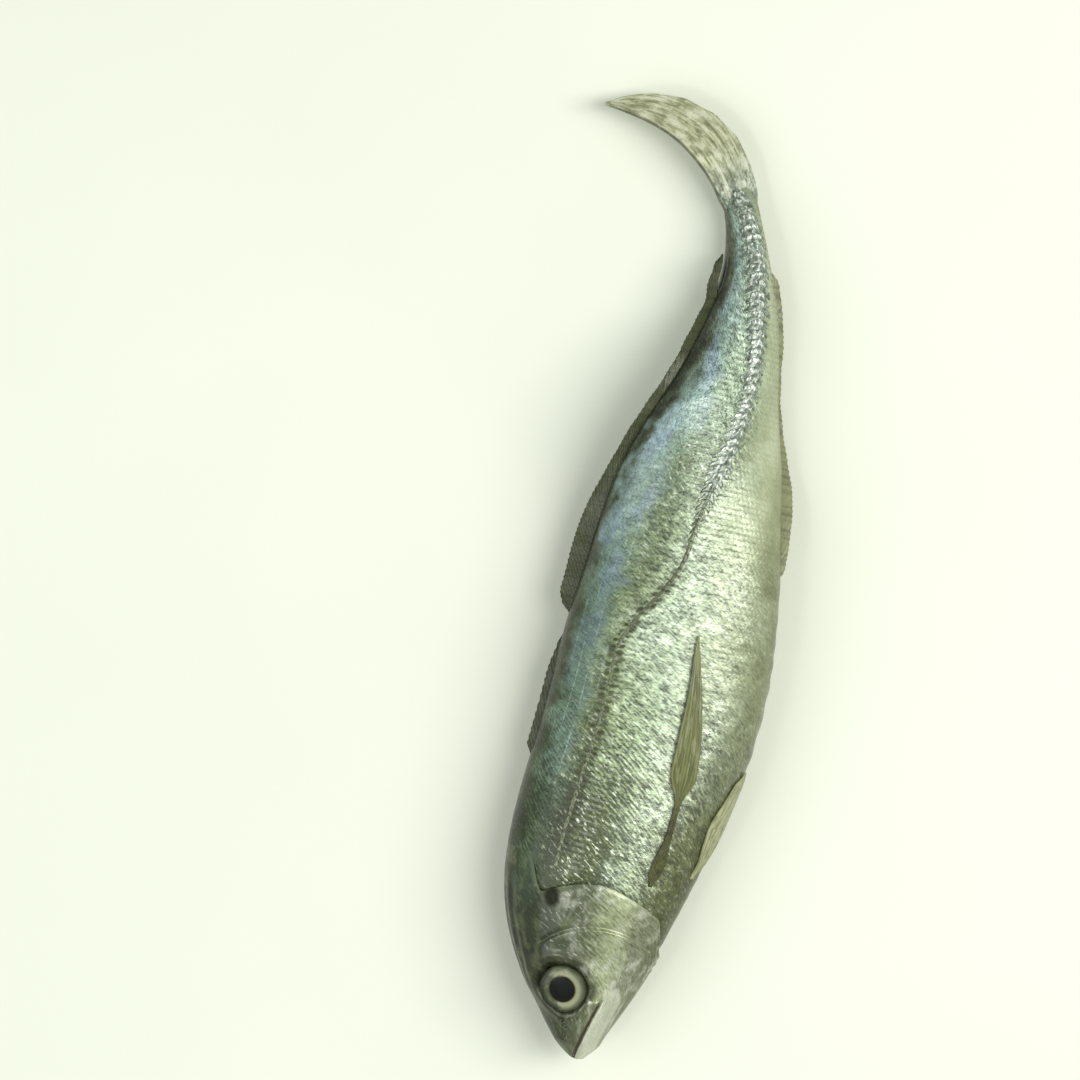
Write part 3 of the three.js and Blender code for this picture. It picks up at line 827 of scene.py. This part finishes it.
def fin_material(name, root=None, scales_on_base=None, mottled=0.0):
    """Rays over a thinner membrane. The root's ramp darkens the first half, with painted glints in it;
    scales cover the base.
    """
    n = Nodes(name)
    ray_colour, membrane_colour, opacity = FIN_LOOKS[name]
    ray = n.read("ray")
    along = n.read("along")
    colour = n.blend(ray, linear(membrane_colour), linear(ray_colour))
    if scales_on_base:
        scaly = n.ramp(n.noise(n.uv(7, 2.4), 3.4, 4, 0.65), scales_on_base)
        colour = n.blend(n.band(along, 0.4, 0.16), colour, scaly)
    stain = n.noise(n.uv(3, 3), 3.0, 4)
    colour = n.paint(n.band(stain, 0.4, 0.65, 0.0, 0.6), colour, FIN_STAIN, "MULTIPLY")
    blotch = n.noise(n.uv(5, 2), 2.6, 4, 0.6)
    colour = n.paint(n.band(blotch, 0.5, 0.66, 0.0, mottled), colour, FIN_PALE_PATCH)
    colour = n.paint(n.band(blotch, 0.46, 0.32, 0.0, mottled), colour, FIN_DARK_PATCH)
    if root:
        # A dark root with painted brown-yellow glints from the noise
        dark_root_with_glints = n.ramp(n.noise(n.uv(16, 6), 3.0, 3), root)
        colour = n.blend(n.band(along, 0.46, 0.24, 0.0, 0.92), colour, dark_root_with_glints)
    rim = n.band(n.read("rim"), 0.3, 0.9)
    colour = n.paint(n.times(rim, 0.8), colour, FIN_EDGE)
    fleck = n.noise(n.uv(30, 30), 4.0, 3)
    colour = n.paint(n.band(fleck, 0.35, 0.65, 0.25, 0.0), colour, FIN_FLECK)
    alpha = n.maths("MAXIMUM", n.band(ray, 0.1, 0.8, opacity, 1.0), rim)
    alpha = n.maths("MAXIMUM", alpha, n.band(along, 0.3, 0.02))
    return n.finish(Base_Color=colour, Roughness=0.34, Normal=n.bump(fleck, 0.00005), Alpha=alpha,
                    Coat_Weight=0.25, Coat_Roughness=0.2, Specular_IOR_Level=0.35)


def scute_material():
    n = Nodes("scute_plates")
    tone = n.noise(n.uv(), 7.0, 3, 0.65)
    broken = n.band(n.noise(n.uv(), 8.0, 3, 0.65), 0.46, 0.6, 0.05, 1.0)
    # Painted highlight along the crests of the plates, broken in places
    painted_highlight = n.times(n.band(n.read("crest"), 0.2, 0.7), broken)
    large = n.paint(painted_highlight, n.ramp(tone, SCUTE_LARGE), SCUTE_PAINTED_HIGHLIGHT)
    colour = n.blend(n.band(n.read("grown"), 0.1, 0.8), n.ramp(tone, SCUTE_SMALL), large)
    normal = n.bump(n.noise(n.uv(), 40, 2), 0.00006)
    return n.finish(Base_Color=colour, Metallic=0.3, Roughness=0.26, Normal=normal, Coat_Weight=0.5,
                    Coat_Roughness=0.1)


def eye_material():
    n = Nodes("eye_iris")
    fibres = n.noise(n.uv(5, 0.6), 7.0, 4)
    colour = n.ramp(n.plus(n.minus(fibres, 0.5), 0.07, n.read("out")), IRIS)
    patch = n.noise(n.uv(2, 0.8), 2.2, 3)
    upper = n.plus(n.minus(patch, 0.5), 1.6, n.read("upper"))
    colour = n.paint(n.band(upper, 0.0, 0.6, 0.0, 0.8), colour, IRIS_SHADE, "MULTIPLY")
    return n.finish(Base_Color=colour, Roughness=0.3, Metallic=0.1, Normal=n.bump(fibres, 0.00012),
                    Coat_Weight=0.15, Coat_Roughness=0.05, Specular_IOR_Level=0.2)


def cornea_material():
    n = Nodes("eye_cornea")
    haze = n.noise(n.uv(2, 2), 3.0, 3)
    return n.finish(Base_Color=linear(CORNEA_CLEAR), Transmission_Weight=1.0, IOR=1.26,
                    Roughness=n.band(haze, 0.3, 0.7, 0.02, 0.09))


def mouth_material():
    n = Nodes("mouth_lining_in_shade")
    # The lining's dark colour is partly painted shade in the gape
    folds = n.noise(n.uv(9, 2), 3.0, 3)
    return n.finish(Base_Color=n.ramp(folds, MOUTH_LINING_IN_SHADE), Roughness=0.35, Normal=n.bump(folds, 0.0001),
                    Coat_Weight=0.5, Coat_Roughness=0.12)


def floor_material():
    n = Nodes("pale_floor")
    mottle = n.noise(n.node("TexCoord", "Object", {}), 6.0, 3, dims="3D")
    return n.finish(Base_Color=n.ramp(mottle, FLOOR), Roughness=0.75)


# Body pieces

TRUNK_START = 28.0
TRUNK_JOIN = 138.0
TRUNK_RINGS, TRUNK_COLUMNS = 360, 262
HEAD_RINGS, HEAD_COLUMNS = 280, 320
COVER_RINGS = 7  # the head's last rings turn in to give the gill cover its thickness
EYE_RINGS, EYE_COLUMNS = 44, 80
MAP_RADIUS = 17.0
SPOT = {"place": 42.6, "level": 0.46, "length": 2.7, "height": 0.1, "strength": 1.15}
DOT_STEP = 2.3
DOT_OFFSET = 1.15


def skin_map(place, around):
    """Map coordinates in centimetres along and around the body, with one more column for the seam."""
    u = np.concatenate([place, place[:, :1]], axis=1) / 10
    v = np.append(around, around[0] + TURN) * MAP_RADIUS / 10
    return u, np.broadcast_to(v, u.shape)


def gill_spot(place, level):
    """The dark spot at the upper rear edge of the gill cover."""
    along = (place - SPOT["place"]) / SPOT["length"]
    up = (level - SPOT["level"]) / SPOT["height"]
    return SPOT["strength"] * np.exp(-(along**2 + up**2))


def line_dots(place, level):
    """Two staggered rows of dark dots along the lateral line, fading where the plates grow."""
    off = (level - lateral_level(place)) * station_value(place, BACK)
    near = np.zeros_like(place)
    for row, shift in ((-DOT_OFFSET, 0.0), (DOT_OFFSET, 0.5)):
        along = (place + 0.3 * np.sin(place * 1.7 + row)) / DOT_STEP + shift
        gap = (along - np.round(along)) * DOT_STEP
        size = 0.8 + 0.25 * np.sin(place * 0.83 + 2 * row)
        near = np.maximum(near, np.exp(-((gap / size) ** 2) - ((off - row) / 0.95) ** 2))
    return near * between((50, 60), (124, 150), place)


def flank_angles(columns):
    """Angles round the body, closer together on the flank that shows."""
    shown = round(columns * 0.76)
    first, last = -0.75, math.pi + 0.1
    near = np.linspace(first, last, shown, endpoint=False)
    far = np.linspace(last, first + TURN, columns - shown, endpoint=False)
    return np.concatenate([near, far])


SCALE_LENGTH = 1.55
SCALES_PER_TURN = 92
SCALE_TONES = rng.normal(0, 1, (64, 128))
ROW_TONES = rng.normal(0, 1, 256)


def scales(place, angle):
    """Overlapping scales in slanted rows: a height from 0 to 1, a tone and a dark rear rim."""
    along = place / SCALE_LENGTH + 0.18 * wavy(place, angle, 21, 5)
    around = (angle % TURN) / TURN * SCALES_PER_TURN + 0.2 * wavy(place, angle, 22, 5)
    row0 = np.floor(along).astype(int)
    height = np.zeros_like(place)
    tone = np.zeros_like(place)
    rim = np.zeros_like(place)
    found = np.zeros(place.shape, dtype=bool)
    for back in (2, 1, 0, -1):
        row = row0 - back
        shift = 0.5 * (row % 2)
        for side in (0, 1):
            column = np.floor(around - shift).astype(int) + side
            a = (along - row + 0.1) / 1.55
            b = (around - shift - column) / 0.82
            inside = (a > -0.1) & (a * a * np.sign(a) + b * b < 1) & ~found
            reach = a * a + b * b
            value = SCALE_TONES[row % 64, column % 128]
            value = 0.75 * value + 0.65 * ROW_TONES[(column * 2 + row) // 2 % 256]
            height = np.where(inside, a - 0.35 * b * b, height)
            tone = np.where(inside, value, tone)
            rim = np.where(inside, smooth(0.6, 1.0, reach), rim)
            found |= inside
    return height, tone, rim


def make_trunk(name, start, end, cap_end=False):
    around = flank_angles(TRUNK_COLUMNS)
    angle = np.broadcast_to(around, (TRUNK_RINGS, TRUNK_COLUMNS))
    level = np.cos(angle)
    stop = end - (6 * np.abs(level) ** 2 if cap_end else 0)
    place = np.broadcast_to(mix(start, stop, np.linspace(0, 1, TRUNK_RINGS)[:, None]), angle.shape)
    scale, tone, rim = scales(place, angle)
    depth = 0.24 * (1 - smooth(0.8, 1.0, np.abs(level))) * smooth(40, 60, place)
    depth = depth * (1 - 0.75 * smooth(0.4, 0.62, level)) * (1 - 0.6 * smooth(212, 228, place))
    lift = trunk_relief(place, angle) + depth * (scale - 0.5)
    if cap_end:
        lift = lift - 1.3 * smooth(233, 243, place)
    values = {"place": place, "level": level, "tone": tone, "rim": rim,
              "spot": gill_spot(place, level) * 0.3, "dot": line_dots(place, level)}
    return tube_mesh(name, skin(place, angle, lift), *skin_map(place, around), values, cap_end=cap_end)


def make_head():
    around = np.arange(HEAD_COLUMNS) / HEAD_COLUMNS * TURN
    angle = np.broadcast_to(around, (HEAD_RINGS, HEAD_COLUMNS))
    level = np.cos(angle)
    nape = smooth(GILL["top"] - 0.1, GILL["top"] + 0.15, level)
    rear = mix(gill_edge(level), 54.0, nape)
    plain = HEAD_RINGS - COVER_RINGS
    t = np.concatenate([np.linspace(0, 1, plain) ** 1.15, np.ones(COVER_RINGS)])[:, None]
    curl = np.concatenate([np.zeros(plain), np.linspace(0, 1, COVER_RINGS + 1)[1:]])[:, None]
    place = rear * t
    lift = head_relief(place, angle)
    at_edge = bump(1, 0.02, t) * (1 - nape)
    lift = lift - 0.25 * at_edge - curl * (1 - nape) * 1.5
    lift = mix(lift, -0.12, nape * smooth(0.9, 1, t))
    place = place - 0.9 * np.sin(curl * math.pi / 2) * (1 - nape) * curl
    none = np.zeros_like(place)
    values = {"place": place, "level": level, "spot": gill_spot(place, level),
              "tone": none, "rim": none, "dot": none, "jaw": jaw_parts(place, level),
              "socket": bump(EYE["radius"] + 1.0, 1.5, eye_distance(place, level))}
    return tube_mesh("head", skin(place, angle, lift), *skin_map(place, around), values, cap_start=True)


def eye_frame(side):
    """The eye's centre, and the directions out of the skin, to the tail and to the back."""
    def at(step, turn):
        angle = side * math.acos(EYE["level"]) + turn
        return skin(np.float64(EYE["place"] + step), np.float64(angle))

    ahead = at(1, 0) - at(-1, 0)
    around = at(0, 0.05) - at(0, -0.05)
    normal = np.cross(ahead, around)
    normal /= np.linalg.norm(normal)
    if normal[2] * side < 0:
        normal = -normal
    ahead = ahead - normal * np.dot(ahead, normal)
    ahead /= np.linalg.norm(ahead)
    across = np.cross(normal, ahead)
    if np.dot(across, around) * side > 0:
        across = -across
    return at(0, 0), normal, ahead, across


def make_eye(side, name):
    """An eyeball: a bowl-shaped iris round a raised pupil, under a clear dome."""
    centre, normal, ahead, across = eye_frame(side)
    out = np.linspace(1, 0.01, EYE_RINGS)[:, None] * np.ones((1, EYE_COLUMNS))
    turn = np.broadcast_to(np.arange(EYE_COLUMNS) / EYE_COLUMNS * TURN, out.shape)
    x = np.cos(turn) * out * EYE["radius"]
    y = np.sin(turn) * out * EYE["radius"] * 0.97
    around = np.concatenate([turn, turn[:, :1] + TURN], 1)
    outs = np.concatenate([out, out[:, :1]], 1)
    values = {"out": out, "upper": np.sin(turn) * out}
    iris = 0.35 + 0.5 * (1 - out**2) - 0.25 * bump(0.62, 0.16, out) + 0.2 * (1 - smooth(0.3, 0.5, out))
    iris = iris - 1.9 * smooth(0.94, 1.0, out)
    dome = 0.55 + 1.05 * np.sqrt(np.clip(1 - (out * 0.96) ** 2, 0, 1)) - 2.0 * smooth(0.93, 1.0, out)
    pieces = []
    for part, height in (("_iris", iris), ("_cornea", dome)):
        points = centre + x[..., None] * ahead + y[..., None] * across + height[..., None] * normal
        pieces.append(tube_mesh(name + part, points, outs, around, values, cap_end=True))
    return pieces


def make_mouth(side, name):
    """The gape between the jaws: a thin lining just under the skin of the mouth line, dark partly from its
    own colour and partly as painted shade.
    """
    u, v = grid(60, 40)
    place = mix(0.8, MOUTH["length"] - 0.8, u)
    line = (mouth_line(place) + mix(-0.55, 0.55, v)) / station_value(place, BACK)
    angle = side * np.arccos(np.clip(line, -0.95, 0.95))
    middle = skin(place, angle, -0.75 + 0.1 * np.sin(u * 40) * (1 - v))
    return sheet_mesh(name, middle, np.full_like(u, 0.3), {"along": u, "across": v})


# Scutes

SCUTE_ROWS, SCUTE_COLUMNS = 8, 15


def scute_starts(side):
    """Where the plates start. On the flank that lies below, only the large ones are made."""
    starts = [LATERAL["start"] if side > 0 else 138]
    while starts[-1] < LATERAL["end"]:
        starts.append(starts[-1] + mix(1.9, 2.5, float(smooth(130, 160, starts[-1]))))
    return starts[:-1]


def make_scutes(side, name):
    """The row of keeled plates along the lateral line, small in front and large at the tail."""
    points, faces, uvs, crests, sizes = [], [], [], [], []
    u, across = grid(SCUTE_ROWS, SCUTE_COLUMNS)
    v = 2 * across - 1
    i, j = np.meshgrid(np.arange(SCUTE_ROWS - 1), np.arange(SCUTE_COLUMNS - 1), indexing="ij")
    corner = i * SCUTE_COLUMNS + j
    quads = np.stack([corner, corner + 1, corner + SCUTE_COLUMNS + 1, corner + SCUTE_COLUMNS], -1)
    quads = quads.reshape(-1, 4)
    if side > 0:
        quads = quads[:, ::-1]
    for index, start in enumerate(scute_starts(side)):
        grown = float(smooth(138, 174, start))
        taper = 1 - 0.25 * float(smooth(222, 238, start))
        length = mix(2.1, 3.3, grown) * rng.uniform(0.86, 1.12)
        width = mix(1.2, 8.2, grown) * taper * rng.uniform(0.84, 1.08)
        keel = mix(0.1, 1.2, grown) * taper * rng.uniform(0.75, 1.0)
        half = width / 2 * (0.6 + 0.4 * np.sin(np.clip(u * 1.15 + 0.25, 0, 1) * math.pi) ** 0.7)
        place = start + u * length - 0.42 * v * v * length
        angle = side * np.arccos(lateral_level(place)) + side * v * half / station_value(place, BACK)
        ridge = keel * (0.3 + 0.7 * u) * bump(0, 0.2, v) * (1 - smooth(0.86, 1.0, u) * 0.35)
        lift = -0.1 + 0.34 * mix(0.35, 1, grown) * u * (1 - v**4) + ridge
        lift = lift + mix(0.03, 0.14, grown) * rng.uniform(-1, 1) * (u - 0.3 + 0.6 * v * rng.uniform(-1, 1))
        points.append(skin(place, angle, lift).reshape(-1, 3))
        faces.append(quads + index * u.size)
        uvs.append(np.stack([place / 10 + index * 0.37, v * width / 20], -1).reshape(-1, 2))
        crests.append((smooth(0.4, 0.8, u) * (1 - smooth(0.7, 1, np.abs(v)))).ravel())
        sizes.append(np.full(u.size, grown))
    flat_faces = np.vstack(faces)
    made = mesh_object(name, np.vstack(points), [flat_faces], np.vstack(uvs)[flat_faces.ravel()],
                       {"crest": np.concatenate(crests), "grown": np.concatenate(sizes)})
    modifier = made.modifiers.new("plate", "SOLIDIFY")
    modifier.thickness = 0.18 * MM
    modifier.offset = -1
    return made


# Fins

TAIL_RAYS = 15


def grid(rows, columns):
    return np.meshgrid(np.linspace(0, 1, rows), np.linspace(0, 1, columns), indexing="ij")


def ray_profile(phase):
    """1 on a ray and 0 between, for a phase that grows by one from ray to ray."""
    return np.abs(np.cos(math.pi * phase)) ** 5


def make_tail_lobe(lower, name):
    u, v = grid(170, 98)
    length = TAIL_LENGTH * (0.92 if lower else 1.0)
    place = mix(BODY_LENGTH - 5, BODY_LENGTH + length, u)
    point, side, _, _ = spine_frame(place, "lower" if lower else "upper")
    phase = TAIL_RAYS * (0.06 + v * (1 - 0.5 * u))
    fray = 1 - 0.05 * np.abs(np.sin(math.pi * phase)) * smooth(0.25, 1, v) * smooth(0.2, 0.5, u)
    half = (0.85 if lower else 1.0) * (4.8 + 2.0 * smooth(0, 0.5, u)) * (1 - u**3.4) + 0.15
    half = half * mix(0.72, 1, smooth(0, 0.16, u))
    across = mix(1, -1, v) * half * np.where(v > 0.5, fray, 1)
    lift = (-1.5 if lower else 1.4) * smooth(0.05, 0.5, u) + (0.1 if lower else 0.34) * across
    lift = lift + 0.8 * np.sin(5 * u) * v
    fine = ray_profile(phase * 2) * smooth(0.35, 0.5, u)
    ray = np.maximum(ray_profile(phase), fine * 0.7)
    joints = 0.5 + 0.5 * np.sin(u * 150)
    middle = point + side * across[..., None]
    middle[..., 2] += lift + 0.1 * np.sin(math.pi * phase) * smooth(0.1, 0.4, u)
    thick = mix(1.35, 0.42, smooth(0, 0.3, u)) + 0.36 * ray * (0.85 + 0.15 * joints) * (1 - 0.5 * u)
    lead = 1 - smooth(0.0, 0.07, v)
    thick = thick + 0.45 * lead * (1 - u)
    values = {"along": u, "across": v, "ray": ray, "rim": lead * 0.8 + 0.25 * smooth(0.93, 1, v)}
    return sheet_mesh(name, middle, thick, values)


def folded_fin(name, low, high, angle, height, lift, lean, pitch, rows):
    """A fin folded back in its groove: a low wall of slanting rays with uneven tips."""
    u, v = grid(rows, 18)
    place = mix(low, high, u)
    rays = (place - 9.0 * v) / pitch + 0.25 * np.sin(place * 0.31)
    ray = ray_profile(rays)
    tall = height(place) + 0.26 * np.abs((rays % 1) - 0.5) * 2
    ends = between((low, low + 5), (high - 3, high), place)
    rise = mix(-1.4 + lift(place), mix(-1.0, tall, ends) + lift(place), v)
    _, _, _, flank = spine_frame(place)
    wave = lean * smooth(0, 1, v) * tall + 0.16 * v * np.sin(place * 0.7) + 0.05 * np.sin(math.pi * rays) * v
    middle = skin(place, np.full_like(place, angle), rise) + flank * wave[..., None]
    thick = mix(0.8, 0.28, v) + 0.1 * ray * (1 - 0.5 * v)
    values = {"along": np.full_like(u, 0.6), "across": place / 10, "ray": ray,
              "rim": 0.5 * smooth(0.8, 1, v)}
    return sheet_mesh(name, middle, thick, values)


def make_dorsals():
    spines = folded_fin(
        "dorsal_spines", 72, 114, 0.0,
        lambda p: 1.5 * between((72, 78), (100, 115), p),
        np.zeros_like, -0.25, 2.6, rows=240)
    rays = folded_fin(
        "dorsal_rays", 116, 223, 0.0,
        lambda p: 0.6 + 3.4 * between((116, 125), (132, 165), p) + 1.5 * between((125, 150), (200, 222), p),
        lambda p: 2.6 * smooth(206, 216, p), -0.3, 1.45, rows=500)
    return spines, rays


def make_anal():
    return folded_fin(
        "anal_rays", 136, 219, math.pi,
        lambda p: 0.6 + 1.1 * between((136, 148), (152, 176), p) + 1.8 * between((142, 164), (202, 219), p),
        lambda p: 1.4 * smooth(206, 216, p), 0.2, 1.45, rows=420)


def lying_fin(name, low, high, side, level, half_width, lift, count, rows, rim):
    """A thin fin lying back on the skin, with rays along it and a dark leading edge."""
    u, v = grid(rows, 44)
    place = mix(low, high, u)
    centre = np.arccos(level(u))
    phase = count * v
    ray = ray_profile(phase)
    fray = 1 - 0.12 * np.abs(np.sin(math.pi * phase)) * smooth(0.5, 1, u)
    reach = mix(-1, 1, v) * half_width(u) * fray / (station_value(place, BELLY) * np.sin(centre))
    ripple = 0.07 * np.sin(math.pi * phase) * smooth(0.3, 0.5, u) + 0.1 * np.sin(9 * u + 4 * v)
    middle = skin(place, side * (centre + reach), lift(u) + ripple)
    thick = mix(0.9, 0.34, smooth(0, 0.4, u)) + 0.26 * ray * (1 - 0.5 * u)
    lead = 1 - smooth(0, 0.12, v)
    values = {"along": u, "across": v, "ray": ray, "rim": lead * rim}
    return sheet_mesh(name, middle, thick, values)


def make_pectoral(side, name):
    """A fleshy root, a narrow neck and a tapering blade, as the solid's pectoral fin."""
    def half_width(u):
        root = 0.9 * (1 - smooth(0.1, 0.24, u))
        blade = 2.7 * between((0.35, 0.47), (0.48, 1), u)
        ends = smooth(-0.02, 0.07, u) * (1 - 0.85 * smooth(0.9, 1, u))
        return (0.72 + root + blade) * ends

    return lying_fin(
        name, 51.5, 119, side,
        lambda u: mix(-0.54, -0.22, smooth(0.2, 1.15, u)) + 0.06 * bump(0.48, 0.3, u), half_width,
        lambda u: mix(-0.3, 0.6, smooth(0, 0.15, u)) + 0.5 * smooth(0.35, 0.6, u), 9, rows=150, rim=0.7)


def make_pelvic(side, name):
    def half_width(u):
        grown = 0.5 + 1.5 * smooth(0, 0.5, u)
        return grown * (1 - 0.5 * smooth(0.5, 1, u)) * (1 - 0.8 * smooth(0.88, 1, u))

    return lying_fin(
        name, 57, 88, side, lambda u: mix(-0.93, -0.975, u), half_width,
        lambda u: mix(-0.3, 0.5, smooth(0, 0.2, u)), 6, rows=80, rim=0.25)


# The fish

SIDES = ((1, "left"), (-1, "right"))


def dress(piece, material):
    piece.data.materials.append(material)
    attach(piece, "root")
    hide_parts("fish")


def dress_both(make, start, material):
    for side, word in SIDES:
        dress(make(side, start + word), material)


def build_fish():
    trunk_skin = skin_material("skin_trunk")
    dress(make_trunk("trunk_front", TRUNK_START, TRUNK_JOIN), trunk_skin)
    dress(make_trunk("trunk_rear", TRUNK_JOIN, FLESH_END, cap_end=True), trunk_skin)
    dress(make_head(), skin_material("skin_head", head=True))
    eye_looks = (eye_material(), cornea_material())
    for side, word in SIDES:
        for piece, material in zip(make_eye(side, "eye_" + word), eye_looks):
            dress(piece, material)
    dress_both(make_mouth, "mouth_", mouth_material())
    dress_both(make_scutes, "scutes_", scute_material())
    tail = fin_material("fin_tail", scales_on_base=TAIL_SCALES, mottled=0.62)
    dress(make_tail_lobe(False, "tail_upper"), tail)
    dress(make_tail_lobe(True, "tail_lower"), tail)
    folded = fin_material("fin_folded")
    for fin in make_dorsals():
        dress(fin, folded)
    dress(make_anal(), fin_material("fin_anal"))
    dress_both(make_pectoral, "pectoral_", fin_material("fin_pectoral", PECTORAL_ROOT, mottled=0.15))
    dress_both(make_pelvic, "pelvic_", fin_material("fin_pelvic"))


build_fish()

# Studio

FLOOR_SIZE = 3.0
FLOOR_DROP = 0.0002
# Name, place, width and height of the lamp, power, colour
LIGHTS = (
    ("key", (0.55, 0.05, 0.85), (0.35, 0.9), 8.0, (1.0, 1.0, 0.97)),
    ("glint", (-0.42, -0.3, 1.0), (0.16, 0.16), 0.9, (1.0, 1.0, 0.98)),
    ("fill", (-0.7, -0.2, 0.8), (0.8, 0.8), 3.5, (0.97, 1.0, 1.0)),
)
SKY = (0.96, 1.0, 0.95, 1)
SKY_STRENGTH = 0.45


def make_floor():
    half = FLOOR_SIZE / 2
    corners = [(-half, -half, 0), (half, -half, 0), (half, half, 0), (-half, half, 0)]
    mesh = bpy.data.meshes.new("floor")
    mesh.from_pydata(corners, [], [(0, 1, 2, 3)])
    floor = bpy.data.objects.new("floor", mesh)
    floor.location.z = -FLOOR_DROP
    bpy.context.scene.collection.objects.link(floor)
    floor.data.materials.append(floor_material())


def area_light(name, place, size, power, colour):
    """A rectangular lamp aimed at the frame's origin."""
    data = bpy.data.lights.new(name, "AREA")
    data.shape = "RECTANGLE"
    data.size, data.size_y = size
    data.energy = power
    data.color = colour
    light = bpy.data.objects.new(name, data)
    light.location = place
    x, y, z = place
    light.rotation_euler = (math.atan2(math.hypot(x, y), z), 0, math.atan2(-y, -x) - math.pi / 2)
    bpy.context.scene.collection.objects.link(light)


def make_sky():
    world = bpy.data.worlds.new("studio")
    world.use_nodes = True
    background = world.node_tree.nodes["Background"]
    background.inputs["Color"].default_value = SKY
    background.inputs["Strength"].default_value = SKY_STRENGTH
    bpy.context.scene.world = world
    bpy.context.scene.view_settings.view_transform = "Standard"


make_floor()
for light in LIGHTS:
    area_light(*light)
make_sky()
